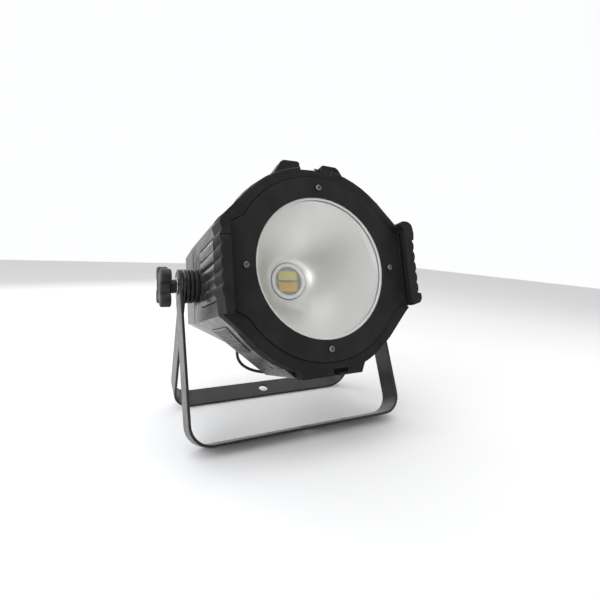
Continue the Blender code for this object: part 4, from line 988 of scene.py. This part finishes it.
def makeYoke():
    dress("front_bracket", "front_bracket", "strapBlack", 0.0007, segments=3, clamp=False)
    dress("rear_bracket", "rear_bracket", "strapBlack", 0.0007, segments=3, clamp=False)
    for side, word in ((1, "right"), (-1, "left")):
        makeKnob(side, word)
        makeStud(side, word)
        makePivotDisc(side, word)
        ringAbout(side, "clamp_washer_" + word, "clamp_washer_" + word, "bareSteel", 0.0100, 0.0004)
        ringAbout(side, "arm_spacer_" + word, "rear_bracket", "nylonWhite", 0.0120, 0.0003)
        dress("pivot_nut_" + word, "head", "bareSteel", 0.0004)
        repaint("driver_board_" + word, "greenBoard")
        dress("latch_pin_" + word, "head", "bareSteel", 0.0002)
    dress("top_latch", "top_latch", "strapBlack", 0.0003)


makeYoke()
print("yoke ready")


# ---- rear panel, sockets, keys, fan, inside
sockets = {
    "power_in": {"finish": "socketBlue", "pins": 3, "pin": 0.0011, "circle": 0.0046},
    "power_out": {"finish": "socketGrey", "pins": 3, "pin": 0.0011, "circle": 0.0046},
    "signal_in": {"finish": "plasticBlack", "pins": 5, "pin": 0.0009, "circle": 0.0048},
    "signal_out": {"finish": "plasticBlack", "pins": 5, "pin": 0.0009, "circle": 0.0048},
}
socketShape = {
    "radius": 0.0100, "flange": 0.0114, "bore": 0.0082, "start": 0.1560, "seat": 0.1766,
    "face": 0.1784, "floor": 0.1630, "pinEnd": 0.1735, "tip": 0.001,
    "soft": [0, 0.0003, 0.0001, 0.0003, 0.0005, 0.0005, 0.0005, 0],
}


def makeSocket(node, values):
    # half section of a flanged cup turned round its axis, and a circle of pins with quarter-round tips
    x, u, _ = headCoordinates(middleOf(node))
    s = socketShape
    corners = [
        (0, s["start"]), (s["radius"], s["start"]), (s["radius"], s["seat"]), (s["flange"], s["seat"]),
    ]
    corners += [(s["flange"], s["face"]), (s["bore"], s["face"]), (s["bore"], s["floor"]), (0, s["floor"])]
    profile = roundedProfile(corners, s["soft"])
    piece = revolved(node + "_finished", profile, 72, aboutDepth(x, u))
    finishPiece(piece, "head", values["finish"], [node])
    angle = np.arange(values["pins"]) * math.tau / values["pins"] + math.pi / 2
    t = np.linspace(0, math.pi / 2, 5)
    height = np.concatenate([[s["floor"] - s["tip"]], s["pinEnd"] - s["tip"] + s["tip"] * np.sin(t)])
    radius = np.concatenate([[values["pin"]], values["pin"] * np.cos(t)])
    radius, height = np.concatenate([[0], radius]), np.concatenate([height[:1], height])
    turn = np.arange(12) * math.tau / 12
    centreX = x + values["circle"] * np.cos(angle)
    centreU = u + values["circle"] * np.sin(angle)
    points = headPlace(
        centreX[:, None, None] + radius[None, :, None] * np.cos(turn),
        centreU[:, None, None] + radius[None, :, None] * np.sin(turn),
        np.broadcast_to(height[None, :, None], (len(angle), len(height), len(turn))),
    )
    pins = gridPiece(node + "_pins", points)
    finishPiece(pins, "head", "goldContact", [])


fanShape = {
    "blades": 7, "root": 0.0138, "tip": 0.0368, "chord": 0.0165, "pitchRoot": 48.0, "pitchTip": 26.0,
    "thick": 0.0012, "hub": 0.0145, "hubHalf": 0.0058, "chordRoot": 0.82, "chordGain": 0.25,
    "camber": 0.0014, "sweep": 0.004, "flatten": 0.85, "soft": [0, 0.0012, 0.0020, 0],
}


def makeFan():
    # blade: an aerofoil outline carried out from the hub while it turns flatter and sweeps forward
    x, u, depth = headCoordinates(middleOf("fan_rotor"))
    r = np.linspace(fanShape["root"], fanShape["tip"], 12)[:, None]
    share = (r - fanShape["root"]) / (fanShape["tip"] - fanShape["root"])
    loop = np.arange(20) * math.tau / 20
    widening = fanShape["chordRoot"] + fanShape["chordGain"] * share
    along = np.cos(loop)[None, :] * fanShape["chord"] / 2 * widening
    camber = fanShape["camber"] * (1 - (np.cos(loop)[None, :]) ** 2)
    across = np.sin(loop)[None, :] * fanShape["thick"] / 2 + camber
    pitch = np.radians(fanShape["pitchRoot"] + (fanShape["pitchTip"] - fanShape["pitchRoot"]) * share)
    tangent = along * np.cos(pitch) - across * np.sin(pitch) + fanShape["sweep"] * share**2
    axial = (along * np.sin(pitch) + across * np.cos(pitch)) * fanShape["flatten"]
    angle = tangent / r
    closedR = np.concatenate([r[:1], r, r[-1:]])
    closedAngle, closedAxial = (
        np.concatenate([rows[:1] * 0 + rows[:1].mean(), rows, rows[-1:] * 0 + rows[-1:].mean()])
        for rows in (angle, axial)
    )
    turns = np.arange(fanShape["blades"])[:, None, None] * math.tau / fanShape["blades"]
    theta = closedAngle[None] + turns
    reach = closedR[None]
    points = headPlace(
        x + reach * np.cos(theta), u + reach * np.sin(theta), depth + closedAxial[None] + theta * 0,
    )
    blades = gridPiece("fan_blades", points)
    finishPiece(blades, "fan_rotor", "plasticBlack", [], sharp=50)
    low, high = depth - fanShape["hubHalf"], depth + fanShape["hubHalf"]
    corners = [(0, low), (fanShape["hub"], low), (fanShape["hub"], high), (0, high)]
    hub = revolved("fan_rotor_finished", roundedProfile(corners, fanShape["soft"]), 72, aboutDepth(x, u))
    finishPiece(hub, "fan_rotor", "plasticBlack", ["fan_rotor"])
    dress("fan_frame", "head", "plasticBlack", 0.0005)


def makeRear():
    dress("rear_panel", "head", "castBlack", 0.0004)
    dress("display_window", "head", "displayGlass", 0.0004)
    dress("fuse_cap", "fuse_cap", "plasticBlack", 0.0004)
    for word in ("menu", "down", "up", "enter"):
        dress("key_" + word, "key_" + word, "keyGrey", 0.0004)
    for node, values in sockets.items():
        makeSocket(node, values)
    makeFan()
    repaint("control_board", "greenBoard")
    repaint("chassis_plate", "castAluminium")
    dress("heat_sink", "head", "castAluminium", 0.0003)


makeRear()
print("rear ready")
